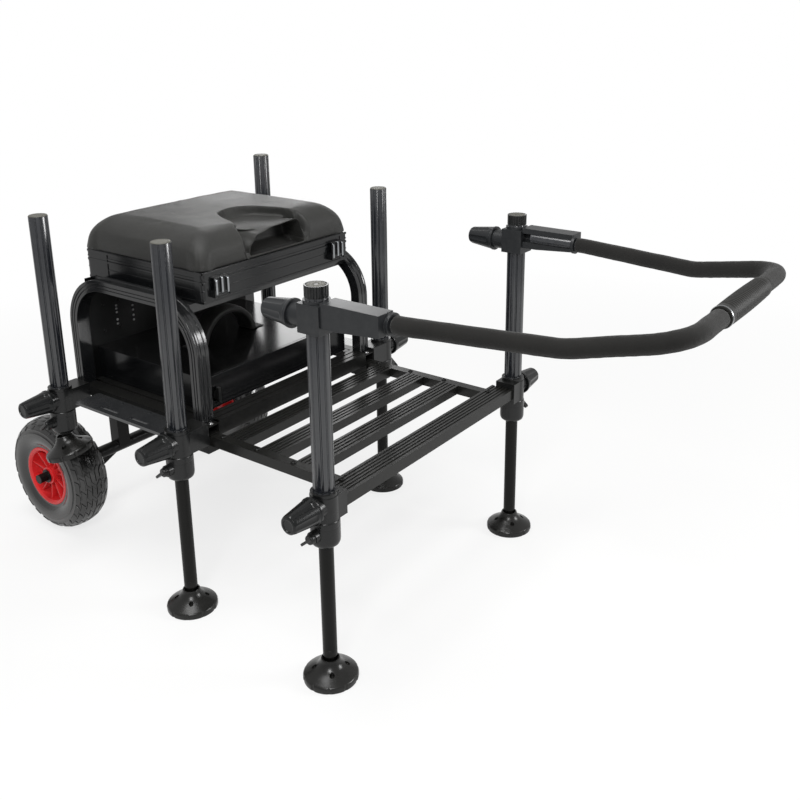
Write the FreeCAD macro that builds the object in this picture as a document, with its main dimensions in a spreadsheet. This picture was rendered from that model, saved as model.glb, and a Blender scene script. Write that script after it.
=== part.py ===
# Fishing seat box: a cushioned tray on a tube frame with six telescopic legs, a slatted
# footplate, a padded front bar and a two-wheel frame at the back. Sizes are in millimetres.
# +X is the sitter's left, -Y is where the sitter faces, +Z is up, and z = 0 is the ground.

import FreeCAD, Part
import Sketcher
import math
import os
import re

V = FreeCAD.Vector
os.makedirs("parts", exist_ok=True)
doc = FreeCAD.newDocument("SeatBox")
sheet = doc.addObject("Spreadsheet::Sheet", "Sizes")

# Driving sizes. Heights are above the ground, depths are along Y from the two seat legs.
SIZES = dict(
    # where the legs stand
    legHalf=301, rowSeat=153.75, bayDepth=353, stepDepth=350,
    # telescopic legs
    tubeRad=18, tubeWall=2, fluteRad=1.5, fluteSink=0.9, markGap=1, markWide=2, markSink=0.6, slideGap=0.3,
    innerRad=12.5, innerWall=1.5, innerLong=420, guideTall=20, liftGap=19,
    topSeat=720, topRearRight=723, topRearLeft=763, topStep=685, plugDeep=12, plugProud=1.5,
    collarRad=25, collarTall=47, collarTaper=7, collarLow=21, tubeSeat=14, bossRad=11, bossReach=33,
    # leg clamps
    clampTop=368, stepDrop=15, clampTall=43, knobDrop=19, sleeveRad=24, armHalf=22, ringRad=23, ringTall=6,
    stepReach=31, knobBoss=28, bossRound=19, screwRad=5, screwGap=0.1,
    # clamp knobs and thumbscrews
    flangeRad=22, flangeThick=5, knobBase=19.5, knobTip=15.5, knobLong=54, knobRound=6,
    scoopRad=9, scoopSink=2.4,
    thumbRad=4, thumbHub=8, thumbHubLong=9, wingHalf=15, wingHalfThick=2.5, wingRise=16,
    # feet
    footRad=48, footRim=5, domeRad=45, domeTop=20, domeNeck=17, socketRad=15, socketTop=28,
    ballRad=10, ballHigh=22, ballGap=0.1, neckRad=4, legEnd=46, raisedFoot=226, raisedTilt=16,
    # base frame of the seat
    railGap=54, railWide=29, railTop=360, railTall=20, railWall=2, railFront=-20, railBack=373,
    crossTop=365, crossTall=30, crossDeep=40, grooveWide=4, grooveSink=1.5,
    plateWide=56, plateHigh=352, plateThick=6, plateFront=48, plateBack=302, ledgeWide=14,
    slotHalf=3, slotLead=42, slotFront=99, slotLong=54, slotPitch=88,
    lugGap=50, lugLow=308, pinInset=69.5, pinHigh=331, pinRad=5, pinLong=26,
    # arches
    archBar=22.6, archTop=595, archRound=105, archFront=-6, archBack=371, archWall=2.5,
    ribIn=7, ribOut=10, ribSink=2,
    # tray, lid and cushion
    trayGap=15, trayFront=15, trayBack=350, trayBase=580, trayTop=622, sheetWall=2,
    beamTall=18, beamDeep=40, beamLead=44,
    lidGap=0.5, lidTop=640, postWide=20, postProud=1.5,
    hingeAt=130, knuckle=20, hingeRad=5, hingePin=2.5, hingeGap=0.05, hingeOut=6, leafTall=14,
    padProud=3, padFront=13, padBack=356, padTall=68, padRound=36, padEdge=34,
    notchHalf=88, notchWaist=68, notchEnd=148, notchFloor=690,
    gripHalf=78, gripLow=648, gripHigh=683, gripDeep=38,
    latchInset=38, latchHalf=17, latchBase=589, latchTop=624, latchPivot=596, latchOut=8,
    latchThick=3, latchPin=2, earThick=2.5, lipDeep=3,
    cornerFront=288, cornerBack=341, cornerLow=587, cornerHigh=638, cornerThick=1.5,
    # case, drawer, panel and strap under the seat
    caseGap=13, caseFront=34, caseBack=350, caseTop=431, caseWall=2, drawerFace=6,
    drawerGap=0.6, drawerBack=330, drawerInset=5, drawerRise=418,
    catchInset=27, catchHigh=392, catchRad=9, catchLong=15,
    panelThick=2, rivetRad=4, rivetTall=2, rivetAt=184, rivetStep=39, rivetLow=460, rivetHigh=516,
    strapAt=182, strapShift=9, strapHalf=23, strapThick=14, strapSpan=76, strapRise=68, tabLong=26, tabThick=3,
    # wheel frame and wheels
    axleAt=474, axleHigh=127, axleRad=14, axleInset=105, spindleRad=10, spindleProud=19,
    strutIn=71, strutOut=101, gussetHalf=3, gussetProud=2, gussetLow=69, spacerRad=13,
    wheelInset=53, wheelRad=127, tyreHalf=43, tyreWall=7, rimRad=61, rimHalf=31, rimWall=4,
    hubRad=19, hubHalf=31.5, webThick=6, webAt=8, ribThick=5, ribDeep=9, lipRad=66, lipThick=3,
    # footplate
    deckTop=342, sideGap=57, sideWide=20, sideTall=20, sideBack=-22.5,
    slatDeep=42.5, slatTall=18, slatFirst=-45, slatPitch=88,
    noseBack=-319, noseFront=-368, noseTall=22,
    # front bar
    headLow=629, headTop=676, headHalf=22, headReach=47, headRing=681, headKnob=649,
    capRad=19, capTop=704, barInset=11, barHigh=663, barRad=10, barWall=1.5, barLead=42,
    foamRad=14.3, socketHalf=18, socketHigh=662, socketBase=20, socketTip=17, socketLead=132,
    inturnLead=155, barToe=11.5, bendLead=385, barTilt=11.5, frontLead=542, barRound=62,
    barEase=70, barSweep=120, gripHold=91, sleeveRim=16.5, sleeveRib=15, sleeveGap=0.1,
)
# Places that follow from other sizes.
PLACES = dict(
    railOut="legHalf - railGap", railIn="railOut - railWide", lugOut="legHalf - lugGap",
    pinAt="legHalf - pinInset", plateOut="railOut + plateWide", slotAt="railOut + slotLead",
    stepArm="legHalf - stepReach",
    sideOut="legHalf - sideGap", sideIn="sideOut - sideWide",
    trayHalf="railIn - trayGap", padHalf="trayHalf + padProud", latchAt="trayHalf - latchInset",
    caseHalf="railIn - caseGap", drawerSide="caseHalf - drawerInset", catchAt="catchInset - caseHalf",
    wheelAt="legHalf - wheelInset", spindleEnd="legHalf + spindleProud",
    axleHalf="legHalf - axleInset", gussetEnd="axleHalf + gussetProud",
    barHalf="legHalf - barInset", headBack="headReach - stepDepth", barStart="-stepDepth - barLead",
    socketFront="-stepDepth - socketLead", barInturn="-stepDepth - inturnLead",
    barBend="-stepDepth - bendLead", barFront="-stepDepth - frontLead",
)
FLUTES = 10
SCOOPS = 6
SLATS = 3
SPOKES = 8

for row, (word, value) in enumerate(SIZES.items(), start=1):
    sheet.set(f"A{row}", word)
    sheet.set(f"B{row}", str(value))
    sheet.setAlias(f"B{row}", word)
doc.recompute()


def spell(text):
    """Write out the places that follow from other sizes."""
    text = str(text)
    while any(word in PLACES for word in re.findall(r"[A-Za-z]\w*", text)):
        text = re.sub(r"[A-Za-z]\w*", lambda m: f"({PLACES[m[0]]})" if m[0] in PLACES else m[0], text)
    return text


def mm(text):
    """The value of an expression in the sheet's sizes, for the few shapes drawn by hand."""
    return float(sheet.evalExpression(re.sub(r"[A-Za-z]\w*", lambda m: str(sheet.get(m[0])), spell(text))))


def rule(text):
    """Put the sheet's name before each size that an expression names."""
    return re.sub(r"[A-Za-z]\w*", lambda m: "Sizes." + m[0] if m[0] in SIZES else m[0], spell(text))


def bind(obj, **rules):
    for prop, text in rules.items():
        obj.setExpression(prop.replace("_", "."), rule(text))
    return obj


def place(obj, x=0, y=0, z=0, turn=None):
    """Put an object at a point given by expressions, turned by (axis, degrees)."""
    if turn:
        obj.Placement = FreeCAD.Placement(V(), FreeCAD.Rotation(V(*turn[0]), turn[1]))
    return bind(obj, Placement_Base_x=x, Placement_Base_y=y, Placement_Base_z=z)


TO_X = ((0, 1, 0), 90)
TO_Y = ((1, 0, 0), -90)


def seat_y(text):
    """A depth from the two seat legs, as a place in the part's own frame."""
    return f"rowSeat + ({text})"


def box(name, x, y, z):
    """A box between two expressions on each axis."""
    obj = doc.addObject("Part::Box", name)
    bind(obj, Length=f"({x[1]}) - ({x[0]})", Width=f"({y[1]}) - ({y[0]})", Height=f"({z[1]}) - ({z[0]})")
    return place(obj, x[0], y[0], z[0])


def bay(name, x, y, z):
    """A box whose depths are measured from the seat legs."""
    return box(name, x, (seat_y(y[0]), seat_y(y[1])), z)


def rod(name, radius, long, x=0, y=0, z=0, turn=None):
    obj = doc.addObject("Part::Cylinder", name)
    bind(obj, Radius=radius, Height=long)
    return place(obj, x, y, z, turn)


def cone(name, first, last, long, x=0, y=0, z=0, turn=None):
    obj = doc.addObject("Part::Cone", name)
    bind(obj, Radius1=first, Radius2=last, Height=long)
    return place(obj, x, y, z, turn)


def ball(name, radius, z=0):
    obj = doc.addObject("Part::Sphere", name)
    bind(obj, Radius=radius)
    return place(obj, 0, 0, z)


def fuse(name, *shapes):
    obj = doc.addObject("Part::MultiFuse", name)
    obj.Shapes = list(shapes)
    obj.Refine = True
    return obj


def group(name, *shapes):
    """Separate solids that share one object."""
    obj = doc.addObject("Part::Compound", name)
    obj.Links = list(shapes)
    return obj


def cut(name, base, *tools):
    obj = doc.addObject("Part::Cut", name)
    obj.Base = base
    obj.Tool = tools[0] if len(tools) == 1 else fuse(name + "_tools", *tools)
    return obj


def mirror(name, source):
    """The same piece on the other side of the seat."""
    obj = doc.addObject("Part::Mirroring", name)
    obj.Source = source
    obj.Base = V(0, 0, 0)
    obj.Normal = V(1, 0, 0)
    return obj


def both(name, source):
    return group(name, source, mirror(name + "_other", source))


def fillet(name, base, radius, keep):
    """Round the edges that keep() picks."""
    doc.recompute()
    obj = doc.addObject("Part::Fillet", name)
    obj.Base = base
    picked = [i for i, edge in enumerate(base.Shape.Edges, start=1) if keep(edge)]
    obj.Edges = [(i, mm(radius), mm(radius)) for i in picked]
    return obj


def solid(name, shape):
    """A shape that no primitive gives, made from sizes read off the sheet."""
    obj = doc.addObject("Part::Feature", name)
    obj.Shape = shape
    return obj


def runs(edge, axis):
    """True for a straight edge along an axis."""
    if edge.Curve.TypeId != "Part::GeomLine":
        return False
    way = edge.Vertexes[-1].Point - edge.Vertexes[0].Point
    return abs(abs(way.normalize().dot(V(*axis))) - 1) < 1e-6


def around(name, count, reach, make):
    """Pieces spaced evenly about the local Z axis."""
    pieces = []
    for at in range(count):
        angle = 2 * math.pi * at / count
        spot = (f"({reach}) * {math.cos(angle):.6f}", f"({reach}) * {math.sin(angle):.6f}")
        pieces.append(make(f"{name}_{at + 1}", *spot))
    return pieces


nodes = {}


def node(name, obj):
    obj.Label = name
    nodes[name] = obj
    return obj


# Each leg: its side (+1 is the sitter's left), its row, the top of its clamp and of its tube.
STEP_CLAMP = "clampTop - stepDrop"
LEGS = dict(
    rear_right=dict(side=-1, row="bayDepth", clamp="clampTop", top="topRearRight", foot="raisedFoot"),
    rear_left=dict(side=1, row="bayDepth", clamp="clampTop", top="topRearLeft", foot="raisedFoot"),
    seat_right=dict(side=-1, row="0", clamp="clampTop", top="topSeat", foot="0"),
    seat_left=dict(side=1, row="0", clamp="clampTop", top="topSeat", foot="0"),
    front_right=dict(side=-1, row="-stepDepth", clamp=STEP_CLAMP, top="topStep", foot="0"),
    front_left=dict(side=1, row="-stepDepth", clamp=STEP_CLAMP, top="topStep", foot="0"),
)


def at_leg(obj, leg, z=0):
    """Stand a piece drawn about its own leg axis, with +X pointing outward, at its leg."""
    turn = ((0, 0, 1), 0 if leg["side"] > 0 else 180)
    return place(obj, f"{leg['side']} * legHalf", seat_y(leg["row"]), z, turn)


def fluted_tube(name, leg, foot):
    """The outer tube: an extruded ring with shallow flutes all round."""
    body = doc.addObject("PartDesign::Body", name + "_tube")
    flat = [plane for plane in body.Origin.OriginFeatures if plane.Role == "XY_Plane"][0]
    ring = body.newObject("Sketcher::SketchObject", name + "_ring")
    ring.AttachmentSupport = (flat, [""])
    ring.MapMode = "FlatFace"
    for at, word in enumerate(("tubeRad", "tubeRad - tubeWall")):
        ring.addGeometry(Part.Circle(V(), V(0, 0, 1), 10 - at))
        ring.addConstraint(Sketcher.Constraint("Coincident", at, 3, -1, 1))
        size = ring.addConstraint(Sketcher.Constraint("Radius", at, 10 - at))
        ring.setExpression(f"Constraints[{size}]", rule(word))
    pad = body.newObject("PartDesign::Pad", name + "_pad")
    pad.Profile = ring
    pad.setExpression("Length", rule(f"({leg['top']}) - ({foot})"))
    doc.recompute()
    dot = body.newObject("Sketcher::SketchObject", name + "_flute")
    dot.AttachmentSupport = (flat, [""])
    dot.MapMode = "FlatFace"
    dot.addGeometry(Part.Circle(V(20, 0, 0), V(0, 0, 1), 2))
    dot.addConstraint(Sketcher.Constraint("PointOnObject", 0, 3, -1))
    size = dot.addConstraint(Sketcher.Constraint("Radius", 0, 2))
    dot.setExpression(f"Constraints[{size}]", rule("fluteRad"))
    reach = dot.addConstraint(Sketcher.Constraint("DistanceX", -1, 1, 0, 3, 20))
    dot.setExpression(f"Constraints[{reach}]", rule("tubeRad + fluteRad - fluteSink"))
    pocket = body.newObject("PartDesign::Pocket", name + "_pocket")
    pocket.Profile = dot
    pocket.Type = 1
    pocket.Reversed = True
    doc.recompute()
    flutes = body.newObject("PartDesign::PolarPattern", name + "_flutes")
    flutes.Originals = [pocket]
    flutes.Axis = (ring, ["N_Axis"])
    flutes.Angle = 360
    flutes.Occurrences = FLUTES
    body.Tip = flutes
    return at_leg(body, leg, foot)


def marked(name, tube, leg):
    """A shallow ring turned in the tube just above its clamp marks how far the leg may drop."""
    low, wide = f"{leg['clamp']} + ringTall + markGap", "markWide"
    outside = rod(name + "_mark_outside", "tubeRad + 1", wide)
    inside = rod(name + "_mark_inside", "tubeRad - markSink", wide)
    return cut(name + "_marked", tube, at_leg(cut(name + "_mark", outside, inside), leg, low))


def bored(name, body, radius, low, high, *more):
    """Bore a piece that stands on its leg axis."""
    return cut(name, body, rod(name + "_bore", radius, f"({high}) - ({low})", z=low), *more)


def clamp_shape(name, arm_end):
    """Sleeve, arm and knob boss of one leg clamp; z = 0 is the top of its block."""
    middle = "-knobDrop"
    block = fuse(
        name + "_block",
        rod(name + "_sleeve", "sleeveRad", "clampTall", z="-clampTall"),
        box(name + "_arm", (f"{arm_end} - legHalf", 0), ("-armHalf", "armHalf"), ("-clampTall", 0)),
        rod(name + "_boss", "bossRound", "knobBoss", z=middle, turn=TO_X),
        rod(name + "_ring", "ringRad", "ringTall"),
    )
    hole = rod(name + "_hole", "screwRad + screwGap", "knobBoss", x="tubeRad / 2", z=middle, turn=TO_X)
    return bored(name, block, "tubeRad + slideGap", "-clampTall - 1", "ringTall + 1", hole)


def knob_shape(name):
    """Tapered clamp knob with scooped sides; z = 0 is the face that meets the clamp."""
    taper = cone(name + "_taper", "knobBase", "knobTip", "knobLong", z="flangeThick")
    tip = mm("flangeThick + knobLong")
    grip = fillet(name + "_round", taper, "knobRound", lambda edge: edge.BoundBox.ZMin > tip - 1)
    reach = "knobBase + scoopRad - scoopSink"
    scoops = around(name + "_scoop", SCOOPS, reach, lambda part, x, y: rod(
        part, "scoopRad", "knobLong + 2", x, y, "flangeThick + 4"))
    handle = cut(name + "_grip", grip, group(name + "_scoops", *scoops))
    reach_in = "knobBoss - tubeRad - 0.6"
    return fuse(
        name,
        handle,
        rod(name + "_flange", "flangeRad", "flangeThick"),
        rod(name + "_screw", "screwRad", reach_in + " + flangeThick", z="-(" + reach_in + ")"),
    )


def collar_shape(name):
    """Bush at the foot of an outer tube, with a boss for its thumbscrew; z = 0 is its top."""
    low = "collarTaper - collarTall"
    body = fuse(
        name + "_body",
        rod(name + "_band", "collarRad", "collarTall - collarTaper", z=low),
        cone(name + "_taper", "collarLow", "collarRad", "collarTaper", z="-collarTall"),
        rod(name + "_boss", "bossRad", "bossReach", z="-collarTall / 2", turn=TO_X),
    )
    seat = rod(name + "_seat", "tubeRad", "tubeSeat + 1", z="-tubeSeat")
    hole = rod(name + "_hole", "thumbRad + screwGap", "bossReach", x="innerRad / 2",
               z="-collarTall / 2", turn=TO_X)
    return bored(name, body, "innerRad + slideGap", "-collarTall - 1", "1", seat, hole)


def thumbscrew_shape(name):
    """Wing screw; z = 0 is the face that meets the collar's boss."""
    reach_in = "bossReach - innerRad - 0.6"
    wing = box(name + "_wing", ("-wingHalf", "wingHalf"), ("-wingHalfThick", "wingHalfThick"),
               (3, "wingRise"))
    rounded = fillet(name + "_ears", wing, "wingHalf / 3", lambda edge: runs(edge, (0, 1, 0)))
    return fuse(
        name,
        rounded,
        rod(name + "_hub", "thumbHub", "thumbHubLong"),
        rod(name + "_shank", "thumbRad", reach_in + " + 2", z="-(" + reach_in + ")"),
    )


def inner_leg_shape(name, long="innerLong"):
    """Inner tube with its ball end and top guide; z = 0 is the underside of the foot."""
    top = f"legEnd + {long}"
    body = fuse(
        name + "_body",
        ball(name + "_ball", "ballRad", "ballHigh"),
        rod(name + "_neck", "neckRad", "legEnd - ballHigh + 2", z="ballHigh"),
        rod(name + "_tube", "innerRad", long, z="legEnd"),
        rod(name + "_guide", "tubeRad - tubeWall - slideGap", "guideTall", z=top + " - guideTall"),
    )
    return bored(name, body, "innerRad - innerWall", "legEnd + 10", top + " + 1")


def foot_shape(name):
    """Swivel foot drawn about the centre of its ball socket."""
    low = "-ballHigh"
    body = fuse(
        name + "_body",
        rod(name + "_rim", "footRad", "footRim", z=low),
        cone(name + "_dome", "domeRad", "domeNeck", "domeTop - footRim", z="footRim - ballHigh"),
        rod(name + "_neck", "socketRad", "socketTop", z=low),
    )
    return cut(name, body, ball(name + "_socket", "ballRad + ballGap"))


clamp_pattern = {
    "seat": clamp_shape("seat_clamp", "railOut"),
    "step": clamp_shape("step_clamp", "stepArm"),
}
knob_pattern = knob_shape("knob")
collar_pattern = collar_shape("collar")
thumb_pattern = thumbscrew_shape("thumb")
inner_pattern = inner_leg_shape("inner")
foot_pattern = foot_shape("foot")


def leg_cap(name, leg):
    """Plug in an open tube end, or the ribbed cap on a front leg."""
    inside = rod(name + "_plug", "tubeRad - tubeWall", "plugDeep", z=leg["top"] + " - plugDeep")
    if leg["top"] != "topStep":
        head = rod(name + "_disc", "tubeRad - tubeWall", "plugProud", z=leg["top"])
        return fuse(name, inside, head)
    tall = "capTop - topStep"
    head = rod(name + "_head", "capRad", tall, z="topStep")
    ribs = around(name + "_rib", 12, "capRad + 1.2", lambda part, x, y: rod(
        part, 2.2, tall + " - 4", x, y, "topStep"))
    return fuse(name, inside, cut(name + "_ribbed", head, group(name + "_ribs", *ribs)))


step_clamps = []
seat_clamps = []
for name, leg in LEGS.items():
    kind = "step" if name.startswith("front") else "seat"
    collar_top = leg["clamp"] + " - clampTall - slideGap"
    tube_foot = collar_top + " - tubeSeat"
    knob_mid = leg["clamp"] + " - knobDrop"

    clamp = at_leg(group(name + "_clamp", clamp_pattern[kind]), leg, leg["clamp"])
    (step_clamps if kind == "step" else seat_clamps).append(clamp)

    tube = marked(name, fluted_tube(name, leg, tube_foot), leg)
    collar = at_leg(group(name + "_collar", collar_pattern), leg, collar_top)
    cap = at_leg(group(name + "_top", leg_cap(name + "_cap", leg)), leg)
    node(f"outer_leg_{name}", group(name + "_outer", tube, collar, cap))

    turned = place(group(name + "_knob_out", knob_pattern), "knobBoss", 0, 0, TO_X)
    node(f"clamp_knob_{name}", at_leg(group(name + "_knob", turned), leg, knob_mid))

    turned = place(group(name + "_thumb_out", thumb_pattern), "bossReach", 0, 0, TO_X)
    thumb = at_leg(group(name + "_thumb", turned), leg, collar_top + " - collarTall / 2")
    node(f"thumbscrew_{name}", thumb)

    inner, swivel = inner_pattern, None
    if leg["foot"] != "0":
        long = f"{leg['top']} - plugDeep - liftGap - {leg['foot']} - legEnd"
        inner = inner_leg_shape(name + "_lifted", long)
        swivel = ((0.81, -0.585 * leg["side"], 0), -mm("raisedTilt"))
    node(f"inner_leg_{name}", at_leg(group(name + "_inner", inner), leg, leg["foot"]))
    foot = group(name + "_foot", foot_pattern)
    place(foot, f"{leg['side']} * legHalf", seat_y(leg["row"]), f"{leg['foot']} + ballHigh", swivel)
    node(f"mud_foot_{name}", foot)

node("seat_leg_clamps", group("seat_clamp_set", *seat_clamps))
node("footplate_leg_clamps", group("step_clamp_set", *step_clamps))


def grooves(name, x, depths, top):
    """Lengthwise grooves along X in the top of a rail, as cutting tools."""
    return [bay(f"{name}_groove_{at + 1}", x, (f"{deep} - grooveWide / 2", f"{deep} + grooveWide / 2"),
                (f"{top} - grooveSink", f"{top} + 1")) for at, deep in enumerate(depths)]


def hollow_rail(name, x, y, z, axis):
    """A rectangular tube open at both ends of its long axis."""
    spans = [x, y, z]
    inside = [(f"{a} + railWall", f"{b} - railWall") for a, b in spans]
    inside[axis] = (f"{spans[axis][0]} - 1", f"{spans[axis][1]} + 1")
    return bay(name + "_outside", *spans), bay(name + "_inside", *inside)


# Base frame: two side rails, two cross rails and the lugs that take the footplate's pins.
outside, inside = hollow_rail("side_rail", ("railIn", "railOut"), ("railFront", "railBack"),
                              ("railTop - railTall", "railTop"), 1)
side_rail = cut("side_rail", outside, inside)
lug_y = ("-armHalf", "armHalf")
lug_block = fuse(
    "lug_block",
    bay("lug_upper", ("railIn", "railOut"), lug_y, ("lugLow", "railTop - railTall")),
    bay("lug_lower", ("railOut", "lugOut"), lug_y, ("lugLow", "clampTop - clampTall")),
)
lug_hole = rod("lug_hole", "pinRad + screwGap", "2 * armHalf + 2", "pinAt", seat_y("-armHalf - 1"),
               "pinHigh", TO_Y)
lug = cut("lug", lug_block, lug_hole)
rails = []
for name, front in (("cross_front", "railFront"), ("cross_rear", "railBack - crossDeep")):
    wide = ("-railIn", "railIn")
    outside, inside = hollow_rail(name, wide, (front, front + " + crossDeep"),
                                  ("crossTop - crossTall", "crossTop"), 0)
    lines = grooves(name, ("-railIn - 1", "railIn + 1"), [f"{front} + 12", f"{front} + 28"], "crossTop")
    rails.append(cut(name, outside, inside, *lines))
node("seat_rails", group("seat_rail_set", *rails, both("side_rail_pair", side_rail), both("lug_pair", lug)))

# Side plates on a ledge along the side rails, with two slots and an angled rear corner.
plate_z = ("plateHigh - plateThick", "plateHigh")
plate = bay("plate_blank", ("railOut", "plateOut"), ("plateFront", "plateBack"), plate_z)
corner = box("plate_corner", (0, 80), (0, 80), ("-plateThick - 1", "1"))
place(corner, "plateOut - 14", seat_y("plateBack"), "plateHigh", ((0, 0, 1), -45))
tools = [corner]
for at in range(2):
    start = f"slotFront + {at} * slotPitch"
    low, tall = "plateHigh - plateThick - 1", "plateThick + 2"
    ends = [rod(f"slot_{at + 1}_end_{side}", "slotHalf", tall, "slotAt", seat_y(f"{start} + {end}"), low)
            for side, end in (("front", "slotHalf"), ("rear", "slotLong - slotHalf"))]
    middle = bay(f"slot_{at + 1}_middle", ("slotAt - slotHalf", "slotAt + slotHalf"),
                 (f"{start} + slotHalf", f"{start} + slotLong - slotHalf"), (low, f"{low} + {tall}"))
    tools += ends + [middle]
heads = [rod(f"plate_screw_{at + 1}", 3.2, 1.6, "railOut + ledgeWide / 2", seat_y(f"slotFront + {37 + at * 84}"),
             "plateHigh") for at in range(2)]
ledge = bay("plate_ledge", ("railOut", "railOut + ledgeWide"), ("plateFront + 10", "plateBack - 20"),
            ("railTop - railTall", "plateHigh - plateThick"))
plate_cut = cut("plate_slotted", plate, *tools)
node("side_plates", both("side_plate_pair", fuse("side_plate", plate_cut, ledge, *heads)))


def arch_band(name, x, outer, inner):
    """The arch's outline between two insets, as a slab across X."""
    blanks = []
    for part, inset in (("out", outer), ("in", inner)):
        deep = 0 if part == "out" else 1
        blank = bay(f"{name}_{part}_blank", (f"{x[0]} - {deep}", f"{x[1]} + {deep}"),
                    (f"archFront + {inset}", f"archBack - ({inset})"),
                    (f"railTop - {deep}", f"archTop - ({inset})"))
        top = mm(f"archTop - ({inset})")
        blanks.append(fillet(f"{name}_{part}", blank, f"archRound - ({inset})", lambda edge: (
            runs(edge, (1, 0, 0)) and edge.BoundBox.ZMin > top - 0.1)))
    return cut(name, *blanks)


arch_blank = arch_band("arch_bar", ("railIn", "railOut"), "0", "archBar")
arch_rib = arch_band("arch_rib", ("railOut - ribSink", "railOut + 1"), "ribIn", "ribIn + 2")
arch_rib_two = arch_band("arch_rib_two", ("railOut - ribSink", "railOut + 1"), "archBar - ribOut + 1",
                         "archBar - ribOut + 3")
arch_hollow = arch_band("arch_hollow", ("railIn + archWall", "railOut - ribSink - archWall"), "archWall",
                        "archBar - archWall")
arch = cut("arch", arch_blank, group("arch_ribs", arch_rib, arch_rib_two, arch_hollow))
node("arches", both("arch_pair", arch))

# Two beams between the arches carry the tray.
beams = []
for name, y in (("beam_front", ("archFront + beamLead", "archFront + beamLead + beamDeep")),
                ("beam_rear", ("archBack - beamLead - beamDeep", "archBack - beamLead"))):
    z = ("trayBase - beamTall", "trayBase")
    body = bay(name + "_body", ("-railIn", "railIn"), y, z)
    inside = bay(name + "_inside", ("-railIn - 1", "railIn + 1"), (f"{y[0]} + railWall", f"{y[1]} - railWall"),
                 (z[0] + " - 1", z[1] + " - railWall"))
    beams.append(cut(name, body, inside))
node("tray_beams", group("tray_beam_set", *beams))


def open_tray(name, x, y, z, wall):
    """A thin-walled box without its top."""
    inside = bay(name + "_inside", (f"{x[0]} + {wall}", f"{x[1]} - {wall}"),
                 (f"{y[0]} + {wall}", f"{y[1]} - {wall}"), (f"{z[0]} + {wall}", f"{z[1]} + 1"))
    return cut(name, bay(name + "_outside", x, y, z), inside)


def posts(name, z):
    """The four corner castings, standing a little proud of the sheet."""
    made = []
    for side in (-1, 1):
        reach = ("trayHalf - postWide", "trayHalf + postProud")
        x = reach if side > 0 else (f"-({reach[1]})", f"-({reach[0]})")
        for end, y in (("front", ("trayFront - postProud", "trayFront + postWide")),
                       ("rear", ("trayBack - postWide", "trayBack + postProud"))):
            post = bay(f"{name}_{end}_{'left' if side > 0 else 'right'}", x, y, z)
            outer = mm(f"{side} * (trayHalf + postProud)")
            edge_y = mm(seat_y(y[0] if end == "front" else y[1]))
            made.append(fillet(post.Name + "_round", post, 8, lambda edge: (
                runs(edge, (0, 0, 1)) and abs(edge.BoundBox.Center.x - outer) < 0.1
                and abs(edge.BoundBox.Center.y - edge_y) < 0.1)))
    return made


HINGE_Y = seat_y("trayBack + hingeOut")
HINGE_Z = "trayTop + lidGap / 2"


def knuckles(name, starts, low, high, bore):
    """Hinge leaf on the back wall with its knuckles about the lid's axis."""
    made = []
    for side in (-1, 1):
        for at, start in enumerate(starts):
            part = f"{name}_{'left' if side > 0 else 'right'}_{at + 1}"
            x = f"{side} * hingeAt + ({start})"
            barrel = rod(part + "_barrel", "hingeRad", "knuckle - 0.4", x, HINGE_Y, HINGE_Z, TO_X)
            leaf = bay(part + "_leaf", (x, x + " + knuckle - 0.4"), ("trayBack", "trayBack + hingeOut"),
                       (low, high))
            hole = rod(part + "_hole", bore, "knuckle + 2", x + " - 1", HINGE_Y, HINGE_Z, TO_X)
            made.append(cut(part, fuse(part + "_body", barrel, leaf), hole))
    return made


# Tray: sheet pan, corner castings, fixed hinge knuckles with their pins, ears for the latches.
tray_x = ("-trayHalf", "trayHalf")
tray_y = ("trayFront", "trayBack")
pan = open_tray("tray_pan", tray_x, tray_y, ("trayBase", "trayTop"), "sheetWall")
tray_knuckles = knuckles("tray_knuckle", ("-1.5 * knuckle", "knuckle / 2 + 0.4"),
                         "trayTop - leafTall", "trayTop - 1", "hingePin")
ears = []
for side in (-1, 1):
    for at, step in enumerate(("-latchHalf - earThick - 0.4", "latchHalf + 0.4")):
        x = f"{side} * latchAt + ({step})"
        name = f"ear_{'left' if side > 0 else 'right'}_{at + 1}"
        plate = bay(name + "_plate", (x, x + " + earThick"), ("trayFront - latchOut - 4", "trayFront"),
                    ("latchPivot - 6", "latchPivot + 8"))
        hole = rod(name + "_hole", "latchPin + hingeGap", "earThick + 2", x + " - 1",
                   seat_y("trayFront - latchOut"), "latchPivot", TO_X)
        ears.append(cut(name, plate, hole))
side_castings = [bay("tray_casting", ("trayHalf", "trayHalf + cornerThick"),
                     ("cornerFront", "trayBack - postWide"), ("cornerLow", "trayTop"))]
side_castings.append(mirror("tray_casting_other", side_castings[0]))
tray = fuse("tray_shell", pan, *posts("tray_post", ("trayBase", "trayTop")), *tray_knuckles, *ears,
            *side_castings)
pins = [rod(f"hinge_pin_{side + 2}", "hingePin", "3 * knuckle", f"{side} * hingeAt - 1.5 * knuckle",
            HINGE_Y, HINGE_Z, TO_X) for side in (-1, 1)]
node("tray_body", group("tray_set", tray, *pins))

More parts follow.
